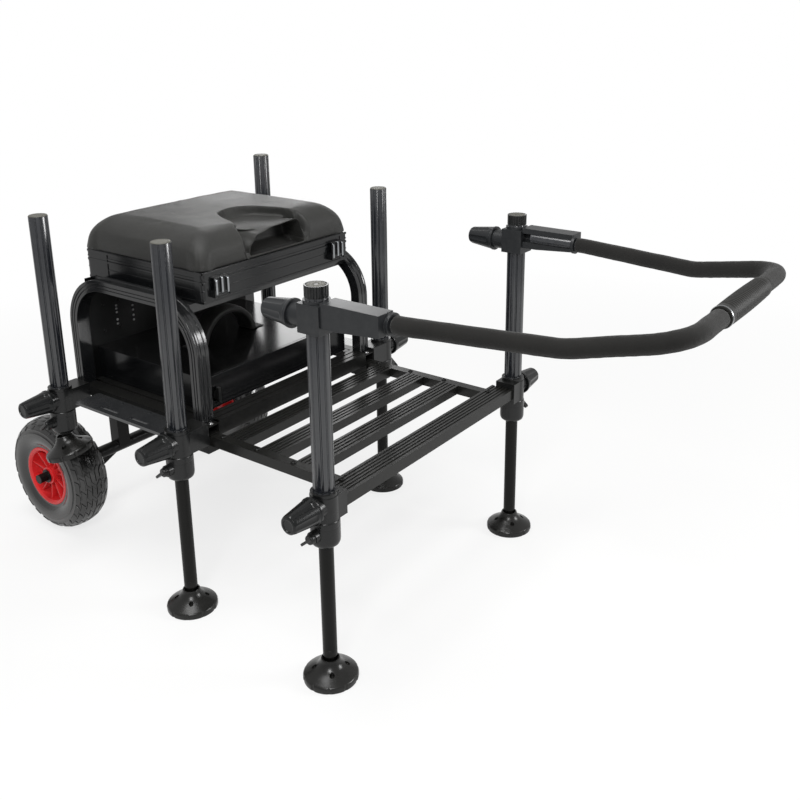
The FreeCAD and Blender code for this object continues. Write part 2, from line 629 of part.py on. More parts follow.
# Lid: a shallow pan turned over, its own knuckles, and the lips that the latches hold.
lid_z = ("trayTop + lidGap", "lidTop")
lid_shell = cut("lid_pan", bay("lid_outside", tray_x, tray_y, lid_z), bay(
    "lid_inside", ("-trayHalf + sheetWall", "trayHalf - sheetWall"),
    ("trayFront + sheetWall", "trayBack - sheetWall"), (lid_z[0] + " - 1", "lidTop - sheetWall")))
lid_knuckles = knuckles("lid_knuckle", ("-knuckle / 2 + 0.2",), "trayTop + lidGap + 1",
                        "lidTop - 2", "hingePin + hingeGap")
lips = [bay(f"lid_lip_{side + 2}", (f"{side} * latchAt - latchHalf + 3", f"{side} * latchAt + latchHalf - 3"),
            ("trayFront - lipDeep", "trayFront"), ("trayTop + lidGap + 1", "trayTop + lidGap + 3"))
        for side in (-1, 1)]
lid_castings = [bay("lid_casting", ("trayHalf", "trayHalf + cornerThick"),
                    ("cornerFront", "trayBack - postWide"), (lid_z[0], "cornerHigh"))]
lid_castings.append(mirror("lid_casting_other", lid_castings[0]))
node("lid_frame", fuse("lid_frame", lid_shell, *posts("lid_post", lid_z), *lid_knuckles, *lips,
                       *lid_castings))


def latch_lever(side):
    """Lever of a draw latch: a plate on a pin, hooked over the lid's lip."""
    name = "latch_left" if side > 0 else "latch_right"
    x = (f"{side} * latchAt - latchHalf", f"{side} * latchAt + latchHalf")
    front = "trayFront - latchOut"
    lip_top = "trayTop + lidGap + 3.2"
    pin = rod(name + "_pin", "latchPin", "2 * latchHalf + 2 * earThick + 2",
              x[0] + " - earThick - 1", seat_y(front), "latchPivot", TO_X)
    return fuse(
        name,
        bay(name + "_plate", x, (front + " - latchThick / 2", front + " + latchThick / 2"),
            ("latchBase", lip_top + " + 2")),
        bay(name + "_hook", x, (front, "trayFront - lipDeep - 0.3"), (lip_top, lip_top + " + 2")),
        rod(name + "_barrel", "latchPin + 2", "2 * latchHalf", x[0], seat_y(front), "latchPivot", TO_X),
        rod(name + "_finger", 2, "2 * latchHalf", x[0], seat_y(front + " - 2"), "latchBase + 1.5", TO_X),
        pin,
    )


for side, name in ((-1, "latch_right"), (1, "latch_left")):
    node(name, latch_lever(side))


def cushion_shape():
    """Padded seat with a horseshoe notch at its front and a hand hold under the notch."""
    blank = bay("pad_blank", ("-padHalf", "padHalf"), ("padFront", "padBack"), ("lidTop", "lidTop + padTall"))
    upright = fillet("pad_upright", blank, "padRound", lambda edge: runs(edge, (0, 0, 1)))
    top = mm("lidTop + padTall")
    soft = fillet("pad_soft", upright, "padEdge", lambda edge: edge.BoundBox.ZMin > top - 0.1)
    front = mm(seat_y("padFront - 10"))
    half = mm("notchHalf")
    waist = mm("notchWaist")
    spots = [(half, front), (half - 3, front + 40), (waist, mm(seat_y("95"))), (waist - 23, mm(seat_y("133")))]
    ridge = Part.BSplineCurve()
    ridge.interpolate([V(x, y, 0) for x, y in spots] + [V(0, mm(seat_y("notchEnd")), 0)]
                      + [V(-x, y, 0) for x, y in reversed(spots)])
    face = Part.Face(Part.Wire([ridge.toShape(), Part.makeLine(V(-half, front, 0), V(half, front, 0))]))
    notch = solid("pad_notch", face.extrude(V(0, 0, mm("padTall"))))
    bind(notch, Placement_Base_z="notchFloor")
    hold = bay("pad_hold", ("-gripHalf", "gripHalf"), ("padFront - 1", "padFront + gripDeep"),
               ("gripLow", "gripHigh"))
    return cut("pad", soft, notch, hold)


node("seat_cushion", cushion_shape())

# Case under the seat, open at the front for its drawer.
case = cut("case_shell", bay("case_outside", ("-caseHalf", "caseHalf"), ("caseFront", "caseBack"),
                             ("crossTop", "caseTop")),
           bay("case_inside", ("-caseHalf + caseWall", "caseHalf - caseWall"),
               ("caseFront - 1", "caseBack - caseWall"), ("crossTop + caseWall", "caseTop - caseWall")))
node("lower_case", case)
drawer_pan = open_tray("drawer_pan", ("-drawerSide", "drawerSide"), ("caseFront - drawerFace", "drawerBack"),
                       ("crossTop + caseWall + drawerGap", "drawerRise"), "caseWall")
drawer_front = bay("drawer_front", ("-caseHalf", "caseHalf"),
                   ("caseFront - drawerFace - drawerGap", "caseFront - drawerGap"), ("crossTop + 1", "caseTop"))
catch_hole = rod("catch_hole", "thumbRad + screwGap", "drawerFace + 4", "catchAt",
                 seat_y("caseFront - drawerFace - 2"), "catchHigh", TO_Y)
node("lower_drawer", cut("drawer", fuse("drawer_body", drawer_pan, drawer_front), catch_hole))
catch_y = seat_y("caseFront - drawerFace - drawerGap")
catch = fuse(
    "catch",
    rod("catch_disc", "catchRad", 3, "catchAt", catch_y + " - 3.3", "catchHigh", TO_Y),
    bay("catch_wing", ("catchAt - 3", "catchAt + 3"), ("caseFront - drawerFace - drawerGap - 10",
                                                       "caseFront - drawerFace - drawerGap - 3"),
        ("catchHigh - catchLong", "catchHigh + catchLong")),
    rod("catch_shank", "thumbRad", "drawerFace + 4", "catchAt", catch_y + " - 3", "catchHigh", TO_Y),
)
node("drawer_catch", catch)

# Rear panel between the case and the tray, with two rows of rivets.
panel = bay("panel_sheet", ("-railIn", "railIn"), ("caseBack - panelThick", "caseBack"),
            ("caseTop", "trayBase"))
rivets = []
for side in (-1, 1):
    for column in range(2):
        for level in ("rivetLow", "rivetHigh"):
            x = f"{side} * (rivetAt - {column} * rivetStep)"
            name = f"rivet_{len(rivets) + 1}"
            rivets.append(cone(name, "rivetRad", "rivetRad / 2", "rivetTall", x,
                               seat_y("caseBack - panelThick"), level, ((1, 0, 0), 90)))
node("rear_panel", fuse("rear_panel", panel, *rivets))

# Carry strap: a padded band bowed over the case, with a stitched tab at each end.
bow = "((strapSpan * strapSpan + strapRise * strapRise) / (2 * strapRise))"
strap_y = seat_y("strapAt - strapHalf")
band = cut("strap_band", rod("strap_over", bow, "2 * strapHalf", "-strapShift", strap_y,
                             f"caseTop + strapRise - {bow}", TO_Y),
           rod("strap_under", bow + " - strapThick", "2 * strapHalf + 2", "-strapShift", strap_y + " - 1",
               f"caseTop + strapRise - {bow}", TO_Y),
           bay("strap_below", ("-200", "200"), ("strapAt - 60", "strapAt + 60"), ("caseTop - 200", "caseTop")))
tabs = [bay(f"strap_tab_{side + 2}", (x[0], x[1]), ("strapAt - strapHalf", "strapAt + strapHalf"),
            ("caseTop", "caseTop + tabThick")) for side, x in (
                (-1, ("-strapShift - strapSpan - tabLong", "-strapShift - strapSpan + 12")),
                (1, ("strapSpan - strapShift - 12", "strapSpan - strapShift + tabLong")))]
node("carry_strap", fuse("carry_strap", band, *tabs))

# Wheel frame: axle tube with spindles, two struts that reach the rear cross rail, two gussets.
axle_y = seat_y("axleAt")
axle = rod("axle_tube", "axleRad", "2 * axleHalf", "-axleHalf", axle_y, "axleHigh", TO_X)
spindle = rod("axle_spindle", "spindleRad", "2 * spindleEnd", "-spindleEnd", axle_y, "axleHigh", TO_X)
frame_parts = [axle, spindle]
for side in (-1, 1):
    word = "left" if side > 0 else "right"
    x = ("strutIn", "strutOut") if side > 0 else ("-strutOut", "-strutIn")
    half = "(strutOut - strutIn) / 2"
    frame_parts.append(bay(f"strut_{word}", x, (f"axleAt - {half}", f"axleAt + {half}"),
                           ("axleHigh", "crossTop")))
    frame_parts.append(bay(f"strut_arm_{word}", x, ("railBack", f"axleAt + {half}"),
                           ("crossTop - crossTall", "crossTop")))
    wedge = doc.addObject("Part::Wedge", f"gusset_{word}")
    turn = ((0, 0, 1), 0) if side > 0 else ((0, 0, 1), 180)
    bind(wedge, Xmin=0, Xmax="gussetEnd - strutIn", X2min="gussetEnd - strutIn", X2max="gussetEnd - strutIn",
         Ymin=0, Ymax="axleHigh - gussetLow", Zmin=0, Zmax="2 * gussetHalf",
         Z2min=0, Z2max="2 * gussetHalf")
    wedge.Placement = FreeCAD.Placement(V(), FreeCAD.Rotation(V(0, 0, 1), turn[1])
                                        * FreeCAD.Rotation(V(1, 0, 0), -90))
    place(wedge, f"{side} * strutIn", seat_y(f"axleAt - {side} * gussetHalf"), "axleHigh")
    frame_parts.append(wedge)
    spacer = "axleHalf" if side > 0 else "hubHalf - wheelAt + 0.3"
    frame_parts.append(rod(f"spacer_{word}", "spacerRad", "wheelAt - hubHalf - axleHalf - 0.3", spacer,
                           axle_y, "axleHigh", TO_X))
    stop = "wheelAt + hubHalf + 0.3" if side > 0 else "-wheelAt - hubHalf - 4.3"
    frame_parts.append(rod(f"stop_{word}", "spacerRad + 2", 4, stop, axle_y, "axleHigh", TO_X))
node("wheel_frame", fuse("wheel_frame", *frame_parts))


def tyre_shape(name):
    """Hollow tyre with two grooves round its tread, about the local Z axis."""
    outer = doc.addObject("Part::Torus", name + "_outer")
    bind(outer, Radius1="wheelRad - tyreHalf", Radius2="tyreHalf")
    inner = doc.addObject("Part::Torus", name + "_inner")
    bind(inner, Radius1="wheelRad - tyreHalf", Radius2="tyreHalf - tyreWall")
    bead = rod(name + "_bead", "rimRad", "3 * tyreHalf", z="-1.5 * tyreHalf")
    seats = [rod(f"{name}_seat_{at + 1}", "lipRad", "tyreHalf", z=low) for at, low in enumerate(
        ("rimHalf", "-rimHalf - tyreHalf"))]
    lines = []
    for at, offset in enumerate((-12, 12)):
        ring = rod(f"{name}_line_{at + 1}", "wheelRad + 1", 4, z=offset - 2)
        hole = rod(f"{name}_hole_{at + 1}", "wheelRad - 4", 6, z=offset - 3)
        lines.append(cut(f"{name}_groove_{at + 1}", ring, hole))
    return cut(name, outer, inner, bead, *seats, *lines)


def rim_shape(name):
    """Dished rim with ribs; +Z is its outer side."""
    barrel = cut(name + "_barrel", rod(name + "_out", "rimRad", "2 * rimHalf", z="-rimHalf"),
                 rod(name + "_in", "rimRad - rimWall", "2 * rimHalf + 2", z="-rimHalf - 1"))
    lips = [cut(f"{name}_lip_{at + 1}", rod(f"{name}_flange_{at + 1}", "lipRad", "lipThick", z=low),
                rod(f"{name}_throat_{at + 1}", "rimRad - rimWall", "lipThick + 2", z=low + " - 1"))
            for at, low in enumerate(("rimHalf", "-rimHalf - lipThick"))]
    web = rod(name + "_web", "rimRad - 1", "webThick", z="webAt")
    hub = rod(name + "_hub", "hubRad", "2 * hubHalf", z="-hubHalf")
    ribs = []
    for at in range(SPOKES):
        rib = box(f"{name}_rib_{at + 1}", (0, "rimRad - 1"), (0, "ribThick"), (0, "ribDeep"))
        angle = 360 * at / SPOKES
        lean = f"{math.sin(math.radians(angle)):.6f} * ribThick / 2"
        rise = f"-{math.cos(math.radians(angle)):.6f} * ribThick / 2"
        ribs.append(place(rib, lean, rise, "webAt + webThick", ((0, 0, 1), angle)))
    body = fuse(name + "_body", barrel, *lips, web, hub, *ribs)
    return bored(name, body, "spindleRad + screwGap", "-2 * hubHalf", "2 * hubHalf")


tyre_pattern = tyre_shape("tyre")
rim_pattern = rim_shape("rim")
for side, word in ((-1, "right"), (1, "left")):
    for kind, pattern in (("tyre", tyre_pattern), ("rim", rim_pattern)):
        wheel = group(f"{kind}_{word}", pattern)
        place(wheel, f"{side} * wheelAt", axle_y, "axleHigh", ((0, 1, 0), 90 * side))
        node(f"{kind}_{word}", wheel)

# Footplate: two side rails with pins at the back, a wide nose rail, and three slats between.
pieces = []
for side in (-1, 1):
    word = "left" if side > 0 else "right"
    x = ("sideIn", "sideOut") if side > 0 else ("-sideOut", "-sideIn")
    outside, inside = hollow_rail(f"step_side_{word}", x, ("noseBack", "sideBack"),
                                  ("deckTop - sideTall", "deckTop"), 1)
    pieces.append(cut(f"step_side_{word}", outside, inside))
    plug = bay(f"step_plug_{word}", (f"{x[0]} + railWall", f"{x[1]} - railWall"), ("sideBack - 12", "sideBack"),
               ("deckTop - sideTall + railWall", "deckTop - railWall"))
    pin = rod(f"step_pin_{word}", "pinRad", "pinLong + 4", f"{side} * pinAt", seat_y("sideBack - 4"),
              "pinHigh", TO_Y)
    pieces.append(fuse(f"step_hook_{word}", plug, pin))
nose_x = ("-stepArm", "stepArm")
outside, inside = hollow_rail("nose", nose_x, ("noseFront", "noseBack"),
                              ("deckTop - noseTall", "deckTop"), 0)
lines = grooves("nose", ("-stepArm - 1", "stepArm + 1"),
                [f"noseFront + {9 + 8 * at}" for at in range(5)], "deckTop")
pieces.append(cut("nose", outside, inside, *lines))
node("footplate_frame", group("footplate_set", *pieces))
slats = []
for at in range(SLATS):
    back = f"slatFirst - {at} * slatPitch"
    outside, inside = hollow_rail(f"slat_{at + 1}", ("-sideIn", "sideIn"), (back + " - slatDeep", back),
                                  ("deckTop - slatTall", "deckTop"), 0)
    lines = grooves(f"slat_{at + 1}", ("-sideIn - 1", "sideIn + 1"),
                    [f"{back} - {8 + 8.8 * step}" for step in range(4)], "deckTop")
    slats.append(cut(f"slat_{at + 1}", outside, inside, *lines))
node("footplate_slats", group("slat_set", *slats))


def head_shape(name):
    """Clamp head that slides on a front leg and carries a bar socket in front of it."""
    block = fuse(
        name + "_block",
        bay(name + "_body", ("legHalf - headHalf", "legHalf + headHalf"),
            ("-stepDepth - headHalf", "-stepDepth + headHalf"), ("headLow", "headTop")),
        rod(name + "_ring", "headHalf - 0.5", "headRing - headTop", "legHalf", seat_y("-stepDepth"), "headTop"),
        rod(name + "_boss", "bossRound", "headBack + stepDepth", "legHalf", seat_y("-stepDepth"),
            "headKnob", TO_Y),
    )
    return cut(
        name, block,
        rod(name + "_bore", "tubeRad + slideGap", "headRing - headLow + 2", "legHalf",
            seat_y("-stepDepth"), "headLow - 1"),
        rod(name + "_hole", "screwRad + screwGap", "headBack + stepDepth", "legHalf",
            seat_y("-stepDepth + tubeRad / 2"), "headKnob", TO_Y),
    )


node("arm_heads", both("arm_head_pair", head_shape("arm_head")))
for side, word in ((-1, "right"), (1, "left")):
    long_knob = fuse(f"arm_knob_{word}_body", knob_pattern, rod(
        f"arm_knob_{word}_reach", "screwRad", "headBack + stepDepth - tubeRad - 0.6",
        z="-(headBack + stepDepth - tubeRad - 0.6)"))
    knob = place(group(f"arm_knob_{word}", long_knob), f"{side} * legHalf", seat_y("headBack"), "headKnob", TO_Y)
    node(f"arm_knob_{word}", knob)


def socket_shape(name):
    """Square arm that tapers on its underside and takes the end of the bar."""
    back = mm(seat_y("-stepDepth - headHalf"))
    front = mm(seat_y("socketFront"))
    low, top, tip = (mm("socketHigh - socketBase"), mm("socketHigh + socketBase"),
                     mm("socketHigh + socketBase - 2 * socketTip"))
    side = mm("barHalf + 12 - socketHalf")
    outline = Part.makePolygon([V(side, back, low), V(side, back - 30, low), V(side, front, tip),
                                V(side, front, top), V(side, back, top), V(side, back, low)])
    body = solid(name + "_body", Part.Face(outline).extrude(V(2 * mm("socketHalf"), 0, 0)))
    bore = rod(name + "_bore", "barRad + sleeveGap", "-socketFront - stepDepth - headHalf + 2", "barHalf",
               seat_y("socketFront - 1"), "barHigh", TO_Y)
    ring = rod(name + "_ring", "socketTip + 0.5", 6, "barHalf", seat_y("socketFront - 6"), "barHigh", TO_Y)
    return cut(name, fuse(name + "_all", body, ring), bore, rod(
        name + "_ring_bore", "barRad + sleeveGap", 8, "barHalf", seat_y("socketFront - 7"), "barHigh", TO_Y))


node("bar_sockets", both("socket_pair", socket_shape("bar_socket")))


def rounded_run(points, radii):
    """Edges through the points, with an arc of its own radius at each inner point."""
    edges = []
    start = points[0]
    for before, corner, after, radius in zip(points, points[1:], points[2:], radii):
        back = (before - corner).normalize()
        ahead = (after - corner).normalize()
        half = back.getAngle(ahead) / 2
        reach = radius / math.tan(half)
        middle = (back + ahead).normalize() * (radius / math.sin(half) - radius)
        edges.append(Part.makeLine(start, corner + back * reach))
        start = corner + ahead * reach
        edges.append(Part.Arc(corner + back * reach, corner + middle, start).toShape())
    edges.append(Part.makeLine(start, points[-1]))
    return edges


def bar_run(start, end):
    """Centre line of the right half of the bar, from its socket to a place on the front run."""
    half = mm("barHalf")
    high = mm("barHigh")
    inturn, bend, front = mm(seat_y("barInturn")), mm(seat_y("barBend")), mm(seat_y("barFront"))
    toe = math.tan(math.radians(mm("barToe")))
    rise = math.tan(math.radians(mm("barTilt")))
    points = [
        V(-half, mm(seat_y(start)), high),
        V(-half, inturn, high),
        V(-half + (inturn - bend) * toe, bend, high),
        V(-half + (inturn - front) * toe, front, high + (bend - front) * rise),
        V(mm(end), front, high + (bend - front) * rise),
    ]
    return rounded_run(points, [mm("barEase"), mm("barSweep"), mm("barRound")])


def piped(edges, outer, inner):
    """A tube along a run of edges."""
    wire = Part.Wire(edges)
    start = edges[0].Vertexes[0].Point
    made = []
    for radius in (outer, inner):
        ring = Part.Wire(Part.makeCircle(radius, start, V(0, -1, 0)))
        pipe = Part.BRepOffsetAPI.MakePipeShell(wire)
        pipe.setTransitionMode(1)
        pipe.add(ring)
        pipe.build()
        pipe.makeSolid()
        made.append(pipe.shape())
    return made[0].cut(made[1])


tube_half = solid("tube_half", piped(bar_run("barStart", "0"), mm("barRad"), mm("barRad - barWall")))
node("bar_tube", fuse("bar_tube", tube_half, mirror("tube_half_other", tube_half)))
foam = solid("foam_half", piped(bar_run("socketFront - 6.5", "-gripHold"), mm("foamRad"), mm("barRad")))
node("bar_foam", both("bar_foam", foam))
grip_z = mm("barHigh") + mm("barBend - barFront") * math.tan(math.radians(mm("barTilt")))
grip_at = dict(y=seat_y("barFront"), z=grip_z, turn=TO_X)
grip_body = [rod("grip_core", "sleeveRib", "2 * gripHold - 1", "0.5 - gripHold", **grip_at)]
for at in range(9):
    grip_body.append(rod(f"grip_rib_{at + 1}", "sleeveRim", "gripHold / 11",
                         f"0.5 - gripHold + {at} * (2 * gripHold - 1 - gripHold / 11) / 8", **grip_at))
grip_bore = rod("grip_bore", "barRad", "2 * gripHold + 2", "-1 - gripHold", **grip_at)
node("bar_grip", cut("bar_grip", fuse("grip_body", *grip_body), grip_bore))

doc.recompute()
for obj in doc.Objects:
    if "Invalid" in obj.State or "Error" in obj.State:
        raise RuntimeError(f"{obj.Name} did not compute")
for name, obj in nodes.items():
    if not obj.Shape.isValid() or not obj.Shape.Solids:
        raise RuntimeError(f"{name} is not a sound solid")
    obj.Shape.exportStep(f"parts/{name}.step")
bounds = Part.makeCompound([obj.Shape for obj in nodes.values()]).BoundBox
print(f"{len(nodes)} parts; x {bounds.XMin:.1f} to {bounds.XMax:.1f}, y {bounds.YMin:.1f} to "
      f"{bounds.YMax:.1f}, z {bounds.ZMin:.1f} to {bounds.ZMax:.1f}")
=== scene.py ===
# Looks of the fishing seat box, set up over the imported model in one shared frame.
import bpy
import bmesh
import math
from mathutils import Matrix, Vector, noise


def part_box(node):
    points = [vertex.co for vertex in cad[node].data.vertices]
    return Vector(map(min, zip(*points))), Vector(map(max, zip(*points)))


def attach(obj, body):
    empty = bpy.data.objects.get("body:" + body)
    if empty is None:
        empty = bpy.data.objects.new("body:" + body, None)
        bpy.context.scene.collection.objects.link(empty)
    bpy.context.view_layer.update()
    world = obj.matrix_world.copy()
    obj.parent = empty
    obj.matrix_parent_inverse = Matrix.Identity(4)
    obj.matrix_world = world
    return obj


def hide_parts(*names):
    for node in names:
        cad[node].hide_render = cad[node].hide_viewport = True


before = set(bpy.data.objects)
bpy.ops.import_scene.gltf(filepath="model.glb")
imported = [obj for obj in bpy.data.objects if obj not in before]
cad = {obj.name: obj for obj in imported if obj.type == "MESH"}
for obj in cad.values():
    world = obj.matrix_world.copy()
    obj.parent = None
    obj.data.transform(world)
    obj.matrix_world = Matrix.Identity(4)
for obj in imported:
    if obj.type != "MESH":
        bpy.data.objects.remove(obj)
bpy.context.scene.view_settings.view_transform = "Standard"
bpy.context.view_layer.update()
print("frame:", len(cad), "nodes")

# ---- camera, floor and light
cameraLook = {
    "place": (-1.32144, -1.11692, 1.09971),
    "turn": (72.363, 0.300, -54.339),  # degrees
    "lens": 42.685,
    "shift": (-0.0209, -0.1153),
}
studio = {
    "floorColour": (0.80, 0.80, 0.79, 1),
    "floorLift": (0.75, 1.0),  # how far the floor is lifted to white, by the object and far off
    "skyGlow": 0.29,
    "lamps": {  # name: place, aimed at, size, watts
        "keyBox": ((-2.1, -1.3, 2.3), (0.0, 0.0, 0.45), 0.9, 54),
        "fillBox": ((1.5, -2.4, 1.3), (0.0, -0.2, 0.4), 0.9, 40),
        "topBox": ((-0.6, 0.2, 2.7), (0.0, 0.1, 0.5), 1.2, 38),
        "backBox": ((1.9, 1.9, 1.3), (0.0, 0.2, 0.5), 0.9, 9),
    },
}


def letGo():
    if bpy.context.object and bpy.context.object.mode != "OBJECT":
        bpy.ops.object.mode_set(mode="OBJECT")
    bpy.ops.object.select_all(action="DESELECT")


def hold(*things):
    letGo()
    for thing in things:
        thing.select_set(True)
    bpy.context.view_layer.objects.active = things[0]


def named(name):
    thing = bpy.context.object
    thing.name = name
    if thing.data:
        thing.data.name = name
    return thing


def feed(tree, socket, value):
    if isinstance(value, bpy.types.NodeSocket):
        tree.links.new(value, socket)
    else:
        socket.default_value = value


def step(tree, operation, first, second=None, clamp=False):
    node = tree.nodes.new("ShaderNodeMath")
    node.operation = operation
    node.use_clamp = clamp
    feed(tree, node.inputs[0], first)
    if second is not None:
        feed(tree, node.inputs[1], second)
    return node.outputs[0]


def blendColour(tree, share, first, second):
    node = tree.nodes.new("ShaderNodeMix")
    node.data_type = "RGBA"
    feed(tree, node.inputs[0], share)
    feed(tree, node.inputs[6], first)
    feed(tree, node.inputs[7], second)
    return node.outputs[2]


def spread(tree, value, low, high, newLow=0.0, newHigh=1.0):
    node = tree.nodes.new("ShaderNodeMapRange")
    feed(tree, node.inputs[0], value)
    for at, number in enumerate((low, high, newLow, newHigh), start=1):
        feed(tree, node.inputs[at], number)
    return node.outputs[0]


def seenDirectly(tree):
    path = tree.nodes.new("ShaderNodeLightPath")
    mirrored = step(tree, "MULTIPLY", path.outputs["Is Glossy Ray"], 0.48)
    seen = step(tree, "MAXIMUM", path.outputs["Is Camera Ray"], mirrored)
    return step(tree, "MAXIMUM", seen, path.outputs["Is Transmission Ray"])


def buildStage():
    letGo()
    bpy.ops.object.camera_add(location=cameraLook["place"],
                              rotation=[math.radians(a) for a in cameraLook["turn"]])
    camera = named("photoCamera")
    camera.data.sensor_width = 36
    camera.data.lens = cameraLook["lens"]
    camera.data.shift_x, camera.data.shift_y = cameraLook["shift"]
    camera.data.clip_start, camera.data.clip_end = 0.05, 80
    bpy.context.scene.camera = camera

    bpy.ops.mesh.primitive_plane_add(size=50, location=(0, 0, 0))
    floor = named("studioFloor")
    paint = bpy.data.materials.new("paleFloor")
    paint.use_nodes = True
    tree = paint.node_tree
    matt = tree.nodes["Principled BSDF"]
    grain = tree.nodes.new("ShaderNodeTexNoise")
    grain.inputs["Scale"].default_value = 3
    tone = blendColour(tree, grain.outputs[0], studio["floorColour"], (0.84, 0.84, 0.83, 1))
    feed(tree, matt.inputs["Base Color"], tone)
    matt.inputs["Roughness"].default_value = 0.9
    glow = tree.nodes.new("ShaderNodeEmission")
    mixer = tree.nodes.new("ShaderNodeMixShader")
    reach = tree.nodes.new("ShaderNodeVectorMath")
    reach.operation = "LENGTH"
    feed(tree, reach.inputs[0], tree.nodes.new("ShaderNodeTexCoord").outputs["Object"])
    lift = spread(tree, reach.outputs["Value"], 0.9, 2.4, *studio["floorLift"])
    feed(tree, mixer.inputs[0], step(tree, "MULTIPLY", seenDirectly(tree), lift))
    feed(tree, mixer.inputs[1], matt.outputs[0])
    feed(tree, mixer.inputs[2], glow.outputs[0])
    feed(tree, tree.nodes["Material Output"].inputs[0], mixer.outputs[0])
    floor.data.materials.append(paint)

    world = bpy.data.worlds.new("whiteStudio")
    world.use_nodes = True
    bpy.context.scene.world = world
    tree = world.node_tree
    sky = tree.nodes["Background"]
    sky.inputs[0].default_value = (1, 1, 1, 1)
    feed(tree, sky.inputs[1], spread(tree, seenDirectly(tree), 0, 1, studio["skyGlow"], 1))

    for name, (place, aim, size, power) in studio["lamps"].items():
        away = Vector(aim) - Vector(place)
        bpy.ops.object.light_add(type="AREA", location=place,
                                 rotation=away.to_track_quat("-Z", "Y").to_euler())
        lamp = named(name)
        lamp.data.size = size
        lamp.data.energy = power
    print("stage: camera, floor and", len(studio["lamps"]), "lamps")


buildStage()


# ---- shared effects, each a node group
def newGroup(name, inputs, outputs):
    group = bpy.data.node_groups.new(name, "ShaderNodeTree")
    for label, kind, value in inputs:
        socket = group.interface.new_socket(name=label, in_out="INPUT", socket_type=kind)
        socket.default_value = value
    for label, kind in outputs:
        group.interface.new_socket(name=label, in_out="OUTPUT", socket_type=kind)
    return group, group.nodes.new("NodeGroupInput").outputs, group.nodes.new("NodeGroupOutput").inputs


def place(tree, stretch=None):
    spot = tree.nodes.new("ShaderNodeTexCoord").outputs["Object"]
    if stretch is None:
        return spot
    mapping = tree.nodes.new("ShaderNodeMapping")
    feed(tree, mapping.inputs["Vector"], spot)
    feed(tree, mapping.inputs["Scale"], stretch)
    return mapping.outputs[0]


def cloudy(tree, where, scale, detail=3.0, rough=0.55):
    node = tree.nodes.new("ShaderNodeTexNoise")
    feed(tree, node.inputs["Vector"], where)
    feed(tree, node.inputs["Scale"], scale)
    feed(tree, node.inputs["Detail"], detail)
    feed(tree, node.inputs["Roughness"], rough)
    return node.outputs[0]


number, vector = "NodeSocketFloat", "NodeSocketVector"


